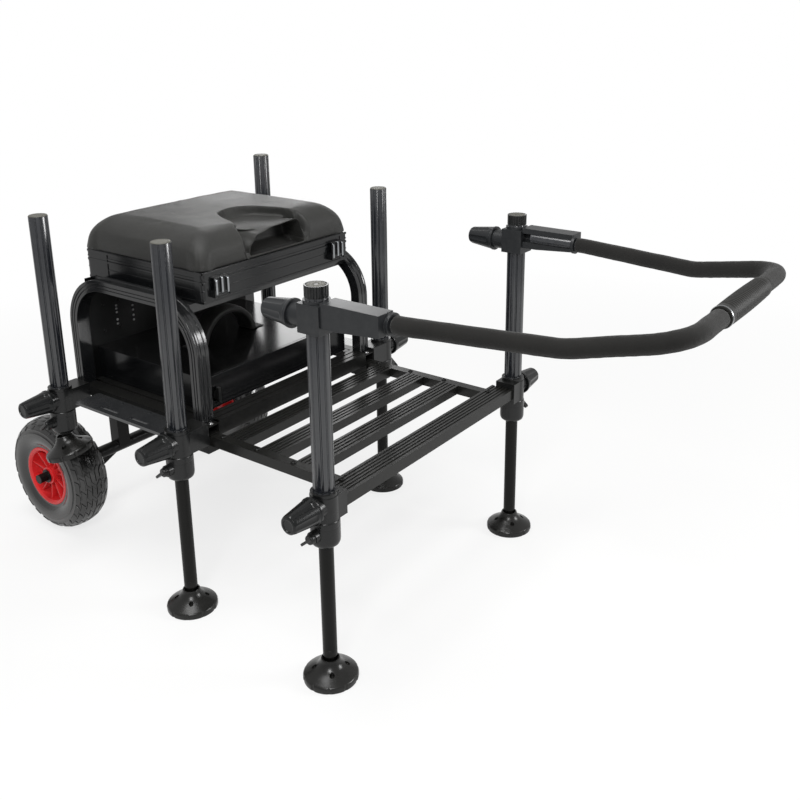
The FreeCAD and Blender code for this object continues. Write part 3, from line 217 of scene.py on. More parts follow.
def buildEffects():
    # grain of a moulded or drawn surface, and the slow change of tone over it
    group, gets, gives = newGroup("surfaceGrain", [
        ("Scale", number, 600.0), ("Stretch", vector, (1, 1, 1)), ("Tone Scale", number, 9.0)],
        [("Height", number), ("Tone", number)])
    where = place(group, gets["Stretch"])
    feed(group, gives["Height"], cloudy(group, where, gets["Scale"], 4.0, 0.6))
    feed(group, gives["Tone"], cloudy(group, place(group), gets["Tone Scale"], 2.0))

    # rubbed edges and corners, broken up by noise
    group, gets, gives = newGroup("edgeWear", [("Amount", number, 0.5), ("Scale", number, 90.0)],
                                  [("Wear", number)])
    shape = group.nodes.new("ShaderNodeNewGeometry")
    edge = spread(group, shape.outputs["Pointiness"], 0.52, 0.60)
    patchy = spread(group, cloudy(group, place(group), gets["Scale"], 5.0), 0.35, 0.7)
    feed(group, gives["Wear"], step(group, "MULTIPLY", step(group, "MULTIPLY", edge, patchy),
                                    gets["Amount"], True))

    # painted shade: grooves and inner corners are painted darker, and made duller
    group, gets, gives = newGroup("creviceShade", [("Amount", number, 0.6)], [("PaintedShade", number)])
    shape = group.nodes.new("ShaderNodeNewGeometry")
    hollow = spread(group, shape.outputs["Pointiness"], 0.485, 0.40)
    feed(group, gives["PaintedShade"], step(group, "MULTIPLY", hollow, gets["Amount"], True))

    # dust that settles on what faces up
    group, gets, gives = newGroup("settledDust", [("Amount", number, 0.2), ("Scale", number, 30.0)],
                                  [("Dust", number)])
    shape = group.nodes.new("ShaderNodeNewGeometry")
    facing = group.nodes.new("ShaderNodeSeparateXYZ")
    feed(group, facing.inputs[0], shape.outputs["Normal"])
    upward = spread(group, facing.outputs["Z"], 0.35, 1.0)
    patchy = spread(group, cloudy(group, place(group), gets["Scale"], 6.0), 0.3, 0.75, 0.35, 1.0)
    feed(group, gives["Dust"], step(group, "MULTIPLY", step(group, "MULTIPLY", upward, patchy),
                                    gets["Amount"], True))

    # thin scuffs in two directions
    group, gets, gives = newGroup("lightScuffs", [("Amount", number, 0.3), ("Scale", number, 24.0)],
                                  [("Scuff", number)])
    marks = []
    for stretch in ((9, 1, 1.3), (1.2, 1, 8)):
        lines = cloudy(group, place(group, stretch), gets["Scale"], 2.0)
        marks.append(spread(group, lines, 0.66, 0.72))
    both = step(group, "MAXIMUM", *marks)
    feed(group, gives["Scuff"], step(group, "MULTIPLY", both, gets["Amount"], True))

    # pebbled hide: small cells with soft creases between them, and the stretch of the cover
    group, gets, gives = newGroup("hideGrain", [("Cells", number, 620.0)],
                                  [("Height", number), ("Tone", number)])
    where = place(group)
    drift = group.nodes.new("ShaderNodeTexNoise")
    drift.inputs["Scale"].default_value = 240
    feed(group, drift.inputs["Vector"], where)
    moved = group.nodes.new("ShaderNodeVectorMath")
    moved.operation = "MULTIPLY_ADD"
    feed(group, moved.inputs[0], drift.outputs["Color"])
    moved.inputs[1].default_value = (0.0012, 0.0012, 0.0012)
    feed(group, moved.inputs[2], where)
    cells = group.nodes.new("ShaderNodeTexVoronoi")
    cells.feature = "DISTANCE_TO_EDGE"
    feed(group, cells.inputs["Vector"], moved.outputs[0])
    feed(group, cells.inputs["Scale"], gets["Cells"])
    pebble = spread(group, cells.outputs[0], 0.0, 0.22)
    slow = cloudy(group, where, 12.0, 3.0)
    feed(group, gives["Height"], step(group, "ADD", step(group, "MULTIPLY", pebble, 0.6),
                                      step(group, "MULTIPLY", slow, 0.4)))
    feed(group, gives["Tone"], slow)

    # closed-cell foam: fine open pores
    group, gets, gives = newGroup("foamPores", [("Scale", number, 900.0)],
                                  [("Height", number), ("Tone", number)])
    pores = group.nodes.new("ShaderNodeTexVoronoi")
    feed(group, pores.inputs["Vector"], place(group))
    feed(group, pores.inputs["Scale"], gets["Scale"])
    dents = cloudy(group, place(group), 38.0, 3.0)
    feed(group, gives["Height"], step(group, "ADD", step(group, "MULTIPLY", pores.outputs[0], 0.5), dents))
    feed(group, gives["Tone"], cloudy(group, place(group), 14.0, 5.0))

    # crossed yarns of a woven strap
    group, gets, gives = newGroup("strapWeave", [("Scale", number, 260.0)],
                                  [("Height", number), ("Tone", number)])
    waves = []
    for way in ("X", "Z"):
        wave = group.nodes.new("ShaderNodeTexWave")
        wave.bands_direction = way
        feed(group, wave.inputs["Vector"], place(group))
        feed(group, wave.inputs["Scale"], gets["Scale"])
        waves.append(wave.outputs[1])
    feed(group, gives["Height"], step(group, "MAXIMUM", *waves))
    feed(group, gives["Tone"], cloudy(group, place(group), 40.0, 4.0))


buildEffects()


def effect(tree, name, **values):
    node = tree.nodes.new("ShaderNodeGroup")
    node.node_tree = bpy.data.node_groups[name]
    for label, value in values.items():
        feed(tree, node.inputs[label.replace("_", " ")], value)
    return node.outputs


def newFinish(name):
    finish = bpy.data.materials.new(name)
    finish.use_nodes = True
    return finish, finish.node_tree, finish.node_tree.nodes["Principled BSDF"]


def bumped(tree, shader, height, depth, strength=1.0):
    bump = tree.nodes.new("ShaderNodeBump")
    bump.inputs["Distance"].default_value = depth
    bump.inputs["Strength"].default_value = strength
    feed(tree, bump.inputs["Height"], height)
    feed(tree, shader.inputs["Normal"], bump.outputs[0])


# Hard finishes: colours of the clean, changed and rubbed surface, gloss, grain, wear and painted shade in
# grooves.
hardFinishes = {
    "anodisedTube": dict(clean=(0.0055, 0.0066, 0.009), changed=(0.0085, 0.010, 0.0135),
                         worn=(0.15, 0.155, 0.165),
                         metal=0.0, shine=0.85, gloss=0.20, vary=0.025, grain=420, stretch=(1, 1, 0.02),
                         deep=0.000003,
                         wear=0.12, dust=0.03, scuff=0.0, paintedShadeAmount=0.95),
    "innerTube": dict(clean=(0.004, 0.004, 0.0037), changed=(0.007, 0.0068, 0.0062), worn=(0.11, 0.105, 0.1),
                      metal=0.0, shine=0.15, gloss=0.36, vary=0.06, grain=500, stretch=(1, 1, 0.05), deep=0.00001,
                      wear=0.12, dust=0.03, scuff=0.03, paintedShadeAmount=0),
    # plug tops and cap faces: their pale grey is a painted highlight of the overhead light on black plastic
    "plugTopPaintedHighlight": dict(clean=(0.07, 0.068, 0.058), changed=(0.1, 0.098, 0.082), worn=(0.1, 0.1, 0.09),
                    metal=0.0, shine=0.3, gloss=0.52, vary=0.075, grain=900, stretch=(1, 1, 1), deep=0.00006,
                    wear=0.12, dust=0.135, scuff=0.08, paintedShadeAmount=0),
    "knobPlastic": dict(clean=(0.0035, 0.004, 0.0042), changed=(0.006, 0.0065, 0.0068), worn=(0.06, 0.06, 0.06),
                        metal=0.0, shine=0.3, gloss=0.2, vary=0.03, grain=1100, stretch=(1, 1, 1), deep=0.00001,
                        wear=0.2, dust=0.03, scuff=0.02, paintedShadeAmount=0.4),
    "castBlack": dict(clean=(0.0045, 0.0048, 0.005), changed=(0.0075, 0.0078, 0.008), worn=(0.08, 0.08, 0.075),
                      metal=0.0, shine=0.35, gloss=0.28, vary=0.04, grain=900, stretch=(1, 1, 1), deep=0.00002,
                      wear=0.1, dust=0.042, scuff=0.03, paintedShadeAmount=0),
    "headGrey": dict(clean=(0.011, 0.012, 0.0132), changed=(0.016, 0.0172, 0.0188), worn=(0.12, 0.12, 0.12),
                     metal=0.0, shine=0.30, gloss=0.34, vary=0.04, grain=1000, stretch=(1, 1, 1), deep=0.00002,
                     wear=0.08, dust=0.036, scuff=0.02, paintedShadeAmount=0),
    "frameBlack": dict(clean=(0.004, 0.0042, 0.0042), changed=(0.0075, 0.0075, 0.007), worn=(0.1, 0.095, 0.085),
                       metal=0.0, shine=0.18, gloss=0.34, vary=0.05, grain=800, stretch=(1, 1, 1), deep=0.000006,
                       wear=0.04, dust=0.02, scuff=0.0, paintedShadeAmount=0),
    "plateGrey": dict(clean=(0.012, 0.013, 0.0145), changed=(0.018, 0.019, 0.021), worn=(0.175, 0.175, 0.17),
                      metal=0.0, shine=0.8, gloss=0.24, vary=0.06, grain=700, stretch=(1, 1, 1), deep=0.000006,
                      wear=0.03, dust=0.06, scuff=0.0, paintedShadeAmount=0),
    "archBlack": dict(clean=(0.005, 0.0055, 0.006), changed=(0.009, 0.0096, 0.0104), worn=(0.11, 0.11, 0.105),
                      metal=0.0, shine=0.6, gloss=0.17, vary=0.025, grain=500, stretch=(1, 1, 1), deep=0.000003,
                      wear=0.05, dust=0.024, scuff=0.0, paintedShadeAmount=0),
    "trayBlack": dict(clean=(0.0035, 0.0038, 0.0042), changed=(0.0065, 0.007, 0.0076), worn=(0.11, 0.11, 0.11),
                      metal=0.0, shine=0.4, gloss=0.22, vary=0.03, grain=500, stretch=(1, 1, 1), deep=0.000004,
                      wear=0, dust=0.01, scuff=0.0, paintedShadeAmount=0),
    "panelBlack": dict(clean=(0.0022, 0.0024, 0.0024), changed=(0.0045, 0.0048, 0.0048), worn=(0.05, 0.05, 0.05),
                       metal=0.0, shine=0.12, gloss=0.38, vary=0.07, grain=900, stretch=(1, 1, 1), deep=0.00004,
                       wear=0, dust=0.024, scuff=0.08, paintedShadeAmount=0),
    "caseGloss": dict(clean=(0.0025, 0.0027, 0.003), changed=(0.0045, 0.0048, 0.0052), worn=(0.05, 0.05, 0.05),
                      metal=0.0, shine=0.25, gloss=0.16, vary=0.025, grain=700, stretch=(1, 1, 1), deep=0.000004,
                      wear=0, dust=0.03, scuff=0.0, paintedShadeAmount=0),
    "latchChrome": dict(clean=(0.34, 0.35, 0.36), changed=(0.22, 0.23, 0.24), worn=(0.8, 0.8, 0.8),
                        metal=1.0, shine=0.5, gloss=0.20, vary=0.06, grain=500, stretch=(1, 1, 0.1), deep=0.00002,
                        wear=0.1, dust=0.015, scuff=0.12, paintedShadeAmount=0),
    "deckBlack": dict(clean=(0.0045, 0.0047, 0.0043), changed=(0.008, 0.008, 0.0073), worn=(0.1, 0.095, 0.085),
                      metal=0.0, shine=0.25, gloss=0.30, vary=0.04, grain=600, stretch=(1, 1, 1), deep=0.000006,
                      wear=0.04, dust=0.02, scuff=0.0, paintedShadeAmount=0),
    "footBlack": dict(clean=(0.0045, 0.0045, 0.0042), changed=(0.009, 0.0088, 0.008), worn=(0.06, 0.06, 0.055),
                      metal=0.0, shine=0.35, gloss=0.26, vary=0.04, grain=700, stretch=(1, 1, 1), deep=0.00005,
                      wear=0.15, dust=0.042, scuff=0.05, paintedShadeAmount=0),
    "rimRed": dict(clean=(0.62, 0.02, 0.022), changed=(0.5, 0.015, 0.018), worn=(0.375, 0.06, 0.05),
                   metal=0.0, shine=0.35, gloss=0.30, vary=0.07, grain=800, stretch=(1, 1, 1), deep=0.00004,
                   wear=0.15, dust=0.03, scuff=0.1, paintedShadeAmount=0),
    "screwSteel": dict(clean=(0.315, 0.315, 0.322), changed=(0.238, 0.238, 0.238), worn=(0.7, 0.7, 0.7),
                       metal=1.0, shine=0.5, gloss=0.28, vary=0.075, grain=900, stretch=(1, 1, 1), deep=0.00003,
                       wear=0.1, dust=0.03, scuff=0.12, paintedShadeAmount=0),
    "gripRing": dict(clean=(0.32, 0.328, 0.336), changed=(0.256, 0.264, 0.272), worn=(0.7, 0.7, 0.7),
                     metal=1.0, shine=0.5, gloss=0.26, vary=0.06, grain=900, stretch=(1, 1, 1), deep=0.00003,
                     wear=0.1, dust=0.03, scuff=0.12, paintedShadeAmount=0),
}


def hardFinish(name, clean, changed, worn, metal, shine, gloss, vary, grain, stretch, deep, wear, dust, scuff,
               paintedShadeAmount):
    finish, tree, shader = newFinish(name)
    surface = effect(tree, "surfaceGrain", Scale=grain, Stretch=stretch)
    edges = effect(tree, "edgeWear", Amount=wear)["Wear"]
    settled = effect(tree, "settledDust", Amount=dust)["Dust"]
    scuffed = effect(tree, "lightScuffs", Amount=scuff)["Scuff"]
    tone = blendColour(tree, spread(tree, surface["Tone"], 0.2, 0.8), (*clean, 1), (*changed, 1))
    paintedShadeMask = effect(tree, "creviceShade", Amount=paintedShadeAmount)["PaintedShade"]
    tone = blendColour(tree, edges, tone, (*worn, 1))
    # painted shade: the crevice mask darkens the base colour towards black
    tone = blendColour(tree, paintedShadeMask, tone, (0.001, 0.001, 0.001, 1))
    tone = blendColour(tree, step(tree, "MULTIPLY", scuffed, 0.35), tone, (*worn, 1))
    tone = blendColour(tree, settled, tone, (0.16, 0.155, 0.14, 1))
    feed(tree, shader.inputs["Base Color"], tone)
    rough = spread(tree, surface["Tone"], 0.3, 0.7, gloss - vary / 2, gloss + vary / 2)
    rough = step(tree, "ADD", rough, step(tree, "MULTIPLY", settled, 0.5))
    rough = step(tree, "ADD", rough, step(tree, "MULTIPLY", paintedShadeMask, 0.5))
    rough = step(tree, "ADD", rough, step(tree, "MULTIPLY", scuffed, 0.25), True)
    feed(tree, shader.inputs["Roughness"], rough)
    shader.inputs["Metallic"].default_value = metal
    shader.inputs["Specular IOR Level"].default_value = shine
    bumped(tree, shader, surface["Height"], deep)
    return finish


# Soft finishes: rubber, leather cloth, foam and webbing.
softFinishes = {
    "seatHide": dict(effectName="hideGrain", size=("Cells", 470), clean=(0.0125, 0.0125, 0.0115),
                     changed=(0.018, 0.018, 0.0162), gloss=0.46, vary=0.05, deep=0.00030, dust=0.05, sheen=0.05,
                     shine=0.3),
    "barFoam": dict(effectName="foamPores", size=("Scale", 1000), clean=(0.0105, 0.0102, 0.0096),
                    changed=(0.0165, 0.016, 0.015), gloss=0.86, vary=0.05, deep=0.0005, dust=0.04, sheen=0.12,
                    shine=0.12),
    "gripRubber": dict(effectName="foamPores", size=("Scale", 1600), clean=(0.006, 0.006, 0.0052),
                       changed=(0.011, 0.0106, 0.0095), gloss=0.5, vary=0.06, deep=0.0002, dust=0.06,
                       sheen=0.05, shine=0.15),
    "tyreRubber": dict(effectName="foamPores", size=("Scale", 1300), clean=(0.004, 0.004, 0.0038),
                       changed=(0.007, 0.0068, 0.0064), gloss=0.20, vary=0.08, deep=0.00005, dust=0.04,
                       sheen=0.03, shine=0.8),
    "strapWebbing": dict(effectName="strapWeave", size=("Scale", 280), clean=(0.007, 0.007, 0.007),
                         changed=(0.013, 0.013, 0.0125), gloss=0.42, vary=0.07, deep=0.0002, dust=0.03,
                         sheen=0.05, shine=0.25),
}


def softFinish(name, effectName, size, clean, changed, gloss, vary, deep, dust, sheen, shine):
    finish, tree, shader = newFinish(name)
    surface = effect(tree, effectName, **{size[0]: size[1]})
    settled = effect(tree, "settledDust", Amount=dust)["Dust"]
    tone = blendColour(tree, spread(tree, surface["Tone"], 0.2, 0.8), (*clean, 1), (*changed, 1))
    tone = blendColour(tree, step(tree, "MULTIPLY", settled, 0.6), tone, (0.15, 0.145, 0.13, 1))
    feed(tree, shader.inputs["Base Color"], tone)
    rough = spread(tree, surface["Tone"], 0.3, 0.7, gloss - vary / 2, gloss + vary / 2)
    feed(tree, shader.inputs["Roughness"], step(tree, "ADD", rough, step(tree, "MULTIPLY", settled, 0.3), True))
    shader.inputs["Sheen Weight"].default_value = sheen
    shader.inputs["Specular IOR Level"].default_value = shine
    bumped(tree, shader, surface["Height"], deep)
    return finish


finishes = {name: hardFinish(name, **look) for name, look in hardFinishes.items()}
finishes.update({name: softFinish(name, **look) for name, look in softFinishes.items()})
print("finishes:", len(finishes))

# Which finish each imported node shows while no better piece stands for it.
nodeFinish = {
    "outer_leg": "anodisedTube", "inner_leg": "innerTube", "mud_foot": "footBlack", "clamp_knob": "knobPlastic",
    "thumbscrew": "castBlack", "seat_leg_clamps": "castBlack", "footplate_leg_clamps": "castBlack",
    "seat_rails": "frameBlack", "side_plates": "plateGrey", "arches": "archBlack", "tray_beams": "archBlack",
    "tray_body": "trayBlack", "lid_frame": "trayBlack", "rear_panel": "panelBlack", "lower_case": "caseGloss",
    "lower_drawer": "caseGloss", "drawer_catch": "latchChrome", "latch_": "latchChrome",
    "carry_strap": "strapWebbing", "wheel_frame": "frameBlack", "footplate_frame": "deckBlack",
    "footplate_slats": "deckBlack", "seat_cushion": "seatHide", "tyre": "tyreRubber", "rim": "rimRed",
    "arm_heads": "headGrey", "bar_sockets": "headGrey", "arm_knob": "headGrey", "bar_tube": "anodisedTube",
    "bar_foam": "barFoam", "bar_grip": "gripRubber",
}
for name, thing in cad.items():
    for start, finishName in nodeFinish.items():
        if name.startswith(start):
            thing.data.materials.clear()
            thing.data.materials.append(finishes[finishName])


# ---- making pieces
def editStart(shape, kind="FACE"):
    hold(shape)
    bpy.ops.object.mode_set(mode="EDIT")
    bpy.ops.mesh.select_mode(type=kind)
    bpy.ops.mesh.select_all(action="DESELECT")
    return bmesh.from_edit_mesh(shape.data)


def choose(shape, net, parts, test):
    for part in parts:
        part.select_set(bool(test(part)))
    net.select_flush_mode()
    bmesh.update_edit_mesh(shape.data)


def editEnd():
    bpy.ops.object.mode_set(mode="OBJECT")


def useModifier(shape, kind, **settings):
    hold(shape)
    change = shape.modifiers.new(kind.lower(), kind)
    for word, value in settings.items():
        setattr(change, word, value)
    bpy.ops.object.modifier_apply(modifier=change.name)
    return shape


def smoothShape(shape, angle=35):
    hold(shape)
    bpy.ops.object.shade_smooth_by_angle(angle=math.radians(angle))
    return shape


def flatFaces(shape, angle=40):
    # large faces keep their own direction, so a bevelled edge doesn't bend the light on them
    smoothShape(shape, angle)
    return useModifier(shape, "WEIGHTED_NORMAL", mode="FACE_AREA", weight=60, keep_sharp=True)


def softenEdges(shape, width, segments=2, angle=32):
    useModifier(shape, "BEVEL", width=width, segments=segments, limit_method="ANGLE",
                angle_limit=math.radians(angle), use_clamp_overlap=True)
    return flatFaces(shape, angle + 8)


def tidyShape(shape, gap=0.000002):
    editStart(shape, "VERT")
    bpy.ops.mesh.select_all(action="SELECT")
    bpy.ops.mesh.remove_doubles(threshold=gap)
    bpy.ops.mesh.delete_loose()
    bpy.ops.mesh.select_all(action="SELECT")
    bpy.ops.mesh.normals_make_consistent(inside=False)
    editEnd()
    return shape


def spinShape(name, outline, steps=64):
    # outline: (reach, height) pairs about Z, closed round
    letGo()
    bpy.ops.mesh.primitive_circle_add(vertices=len(outline), radius=0.01, location=(0, 0, 0))
    shape = named(name)
    for corner, (reach, high) in zip(shape.data.vertices, outline):
        corner.co = (reach, 0, high)
    editStart(shape, "VERT")
    bpy.ops.mesh.select_all(action="SELECT")
    bpy.ops.mesh.spin(steps=steps, angle=2 * math.pi, center=(0, 0, 0), axis=(0, 0, 1))
    editEnd()
    return tidyShape(shape)


def setDown(shape, spot=(0, 0, 0), turn=(0, 0, 0)):
    hold(shape)
    shape.location = spot
    shape.rotation_euler = turn
    bpy.ops.object.transform_apply(location=True, rotation=True, scale=True)
    return shape


def twin(shape, name):
    hold(shape)
    bpy.ops.object.duplicate(linked=False)
    return named(name)


def block(name, low, high):
    # a blank between two corners, for shaping
    letGo()
    bpy.ops.mesh.primitive_cube_add(size=1, location=[(a + b) / 2 for a, b in zip(low, high)])
    shape = named(name)
    shape.scale = [b - a for a, b in zip(low, high)]
    bpy.ops.object.transform_apply(location=True, rotation=True, scale=True)
    return shape


def rodBlank(name, radius, low, high, axis="Z", centre=(0, 0), sides=32):
    letGo()
    bpy.ops.mesh.primitive_cylinder_add(vertices=sides, radius=radius, depth=high - low, location=(0, 0, 0))
    shape = named(name)
    middle = (low + high) / 2
    turns = {"Z": (0, 0, 0), "X": (0, math.pi / 2, 0), "Y": (math.pi / 2, 0, 0)}
    spots = {"Z": (*centre, middle), "X": (middle, *centre), "Y": (centre[0], middle, centre[1])}
    return setDown(shape, spots[axis], turns[axis])


def shapeWith(shape, tool, how="DIFFERENCE"):
    useModifier(shape, "BOOLEAN", operation=how, solver="EXACT", object=tool)
    bpy.data.objects.remove(tool, do_unlink=True)
    return shape


def joined(name, *shapes):
    hold(*shapes)
    if len(shapes) > 1:
        bpy.ops.object.join()
    return named(name)


def fromCad(node, name, join=0.00002):
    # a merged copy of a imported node, to be softened
    shape = bpy.data.objects.new(name, cad[node].data.copy())
    shape.data.name = name
    bpy.context.scene.collection.objects.link(shape)
    editStart(shape, "VERT")
    bpy.ops.mesh.select_all(action="SELECT")
    bpy.ops.mesh.remove_doubles(threshold=join)
    bpy.ops.mesh.dissolve_limited(angle_limit=math.radians(0.6))
    editEnd()
    return shape


def dress(shape, finishName, slotName, body, *nodes):
    shape.data.materials.clear()
    shape.data.materials.append(finishes[finishName])
    if nodes:
        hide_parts(*nodes)
    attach(shape, body)
    return shape


# ---- where the six legs stand
legs = {
    "rear_right": dict(side=-1, depth=0.50675, clamp=0.368, top=0.723, foot=0.226),
    "rear_left": dict(side=1, depth=0.50675, clamp=0.368, top=0.763, foot=0.226),
    "seat_right": dict(side=-1, depth=0.15375, clamp=0.368, top=0.720, foot=0.0),
    "seat_left": dict(side=1, depth=0.15375, clamp=0.368, top=0.720, foot=0.0),
    "front_right": dict(side=-1, depth=-0.19625, clamp=0.353, top=0.685, foot=0.0),
    "front_left": dict(side=1, depth=-0.19625, clamp=0.353, top=0.685, foot=0.0),
}
legOut = 0.301


def atLeg(shape, leg, high=0.0):
    turn = 0 if leg["side"] > 0 else math.pi
    return setDown(shape, (legOut * leg["side"], leg["depth"], high), (0, 0, turn))


# ---- outer tubes, their collars and plugs
tubeLook = {"radius": 0.018, "wall": 0.002, "flutes": 10, "sink": 0.0018, "shoulder": 0.0006,
            "markAt": 0.007, "markWide": 0.002, "markSink": 0.0006}


def makeTube(name, low, high, mark):
    r, flutes = tubeLook["radius"], tubeLook["flutes"]
    count = flutes * 14
    letGo()
    bpy.ops.mesh.primitive_circle_add(vertices=count, radius=r, fill_type="NOTHING", location=(0, 0, 0))
    tube = named(name)
    net = editStart(tube, "VERT")
    for away, sink in ((0, tubeLook["sink"]), (1, tubeLook["shoulder"])):
        def inFlute(corner):
            turn = math.degrees(math.atan2(corner.co.y, corner.co.x)) % (360 / flutes)
            near = min(turn, 360 / flutes - turn) / (360 / count)
            return round(near) in ((0, 1) if away == 0 else (2,))
        choose(tube, net, net.verts, inFlute)
        bpy.ops.transform.resize(value=((r - sink) / r, (r - sink) / r, 1), center_override=(0, 0, 0))
    bpy.ops.mesh.select_all(action="SELECT")
    bpy.ops.transform.translate(value=(0, 0, low))
    marks = (mark, mark + tubeLook["markWide"])
    thin = (r - tubeLook["markSink"]) / r
    at = low
    for rise, squeeze in ((marks[0], None), (marks[0], thin), (marks[1], None), (marks[1], 1 / thin),
                          (high, None)):
        bpy.ops.mesh.extrude_region_move(TRANSFORM_OT_translate={"value": (0, 0, rise - at)})
        if squeeze:
            bpy.ops.transform.resize(value=(squeeze, squeeze, 1), center_override=(0, 0, rise))
        at = rise
    bpy.ops.mesh.select_all(action="SELECT")
    bpy.ops.mesh.normals_make_consistent(inside=False)
    face = next(iter(net.faces))
    spot, way = face.calc_center_median(), face.normal
    if spot.x * way.x + spot.y * way.y < 0:
        bpy.ops.mesh.flip_normals()
    editEnd()
    useModifier(tube, "SOLIDIFY", thickness=tubeLook["wall"], offset=-1)
    useModifier(tube, "BEVEL", width=0.0004, segments=2, limit_method="ANGLE", angle_limit=math.radians(70))
    return smoothShape(tube, 30)


collarLook = {"bore": 0.0128, "seat": 0.018, "band": 0.025, "foot": 0.0205, "tall": 0.047, "boss": 0.011,
              "bossReach": 0.033}


def makeCollar():
    tall, band, foot = collarLook["tall"], collarLook["band"], collarLook["foot"]
    outline = [(collarLook["seat"], 0), (0.0232, 0), (0.0246, -0.0012), (band, -0.003), (band, -0.0105),
               (0.0246, -0.0112), (0.0246, -0.0124), (band, -0.0131), (band, -tall + 0.010),
               (0.0243, -tall + 0.0055), (0.0228, -tall + 0.0022), (foot, -tall + 0.0004), (0.0190, -tall),
               (collarLook["bore"] + 0.001, -tall), (collarLook["bore"], -tall + 0.001),
               (collarLook["bore"], -0.014), (collarLook["seat"], -0.014)]
    collar = spinShape("collarPattern", outline, 72)
    boss = rodBlank("collarBoss", collarLook["boss"], 0.0195, collarLook["bossReach"], "X", (0, -tall / 2), 40)
    shapeWith(collar, boss, "UNION")
    bore = rodBlank("collarBore", 0.0042, 0.010, 0.05, "X", (0, -tall / 2), 24)
    shapeWith(collar, bore)
    return softenEdges(collar, 0.0007, 2, 38)


plugLook = {"lip": 0.0173, "proud": 0.0019}


def makePlug():
    lip, proud = plugLook["lip"], plugLook["proud"]
    outline = [(0, -0.010), (0.0155, -0.010), (0.0155, 0.0), (lip, 0.0), (lip + 0.0002, 0.0006),
               (lip - 0.0006, proud - 0.0003),
               (0.0140, proud), (0.0132, proud - 0.0006), (0.0040, proud - 0.0004), (0, proud - 0.0004)]
    return smoothShape(spinShape("plugPattern", outline, 56), 30)


capLook = {"radius": 0.019, "tall": 0.019, "ribs": 24, "grip": 0.955}


def makeCap():
    # ribbed cap on the front legs
    r, tall = capLook["radius"], capLook["tall"]
    letGo()
    bpy.ops.mesh.primitive_cylinder_add(vertices=capLook["ribs"] * 4, radius=r, depth=tall,
                                        location=(0, 0, tall / 2))
    cap = named("capPattern")
    bpy.ops.object.transform_apply(location=True, rotation=True, scale=True)
    net = editStart(cap, "FACE")
    choose(cap, net, net.faces, lambda face: face.normal.z > 0.9)
    bpy.ops.mesh.inset(thickness=0.0022, depth=0)
    bpy.ops.mesh.inset(thickness=0.0010, depth=-0.0009)
    bpy.ops.mesh.inset(thickness=0.0115, depth=0)
    bpy.ops.mesh.inset(thickness=0.0008, depth=0.0006)
    choose(cap, net, net.faces, lambda face: abs(face.normal.z) < 0.1 and face.calc_area() > 0.000001 and
           math.hypot(*face.calc_center_median().xy) > r * 0.97)
    bpy.ops.mesh.inset(thickness=0.0, depth=0.0)
    choose(cap, net, net.faces, lambda face: False)
    bpy.ops.mesh.select_mode(type="VERT")
    step = 2 * math.pi / (capLook["ribs"] * 4)
    choose(cap, net, net.verts, lambda corner: math.hypot(*corner.co.xy) > r * 0.985 and
           round(math.atan2(corner.co.y, corner.co.x) / step) % 4 == 0)
    bpy.ops.transform.resize(value=(capLook["grip"], capLook["grip"], 1), center_override=(0, 0, 0))
    editEnd()
    tidyShape(cap)
    return smoothShape(cap, 25)


def makeLegs():
    collar, plug, cap = makeCollar(), makePlug(), makeCap()
    tall = capLook["tall"]
    disc = smoothShape(spinShape("capFacePattern", [
        (0, tall - 0.001), (0.0150, tall - 0.001), (0.0150, tall - 0.0002), (0.0144, tall + 0.0002),
        (0.0050, tall + 0.0004),
        (0.0044, tall - 0.0004), (0, tall - 0.0004)], 40), 30)
    for name, leg in legs.items():
        body, node = "outer_" + name, "outer_leg_" + name
        tube = makeTube("tube_" + name, leg["clamp"] - 0.0573, leg["top"], leg["clamp"] + tubeLook["markAt"])
        dress(atLeg(tube, leg), "anodisedTube", "anodised_tube", body, node)
        ring = atLeg(twin(collar, "collar_" + name), leg, leg["clamp"] - 0.0433)
        dress(ring, "castBlack", "cast_black", body, node)
        top = cap if name.startswith("front") else plug
        end = atLeg(twin(top, "tubeEnd_" + name), leg, leg["top"])
        dress(end, "knobPlastic" if top is cap else "plugTopPaintedHighlight", "knob_plastic", body, node)
        if top is cap:
            # pale cap face: painted highlight on the top of the black cap
            face = atLeg(twin(disc, "capFace_" + name), leg, leg["top"])
            dress(face, "plugTopPaintedHighlight", "knob_plastic", body)
    for pattern in (collar, plug, cap, disc):
        bpy.data.objects.remove(pattern, do_unlink=True)
    print("outer legs: 6 tubes with collars and ends")


makeLegs()

# ---- inner legs and feet
innerLook = {"radius": 0.0125, "wall": 0.0015, "tubeFrom": 0.046, "long": 0.420}


def makeInner():
    r, low, high = innerLook["radius"], innerLook["tubeFrom"], innerLook["tubeFrom"] + innerLook["long"]
    ball = [(0.010 * math.sin(a), 0.022 - 0.010 * math.cos(a)) for a in [math.pi * i / 12 for i in range(0, 10)]]
    outline = [(0, 0.012)] + ball[1:] + [(0.0074, 0.0295), (0.0074, 0.0405), (0.0104, 0.0430),
                                         (0.0108, low - 0.0006),
               (r - 0.0007, low - 0.0002), (r, low + 0.0008), (r, low + 0.013), (r - 0.0003, low + 0.0133),
               (r - 0.0003, low + 0.0141), (r, low + 0.0144), (r, high - 0.022),
               (0.0139, high - 0.0205), (0.0139, high - 0.0006), (0.0134, high), (r - innerLook["wall"], high),
               (r - innerLook["wall"], 0.060), (0, 0.060)]
    return smoothShape(spinShape("innerPattern", outline, 48), 32)


footLook = {"radius": 0.048, "sole": -0.022, "notches": 10, "screws": 4, "screwReach": 0.0285, "tiltDegrees": 16}


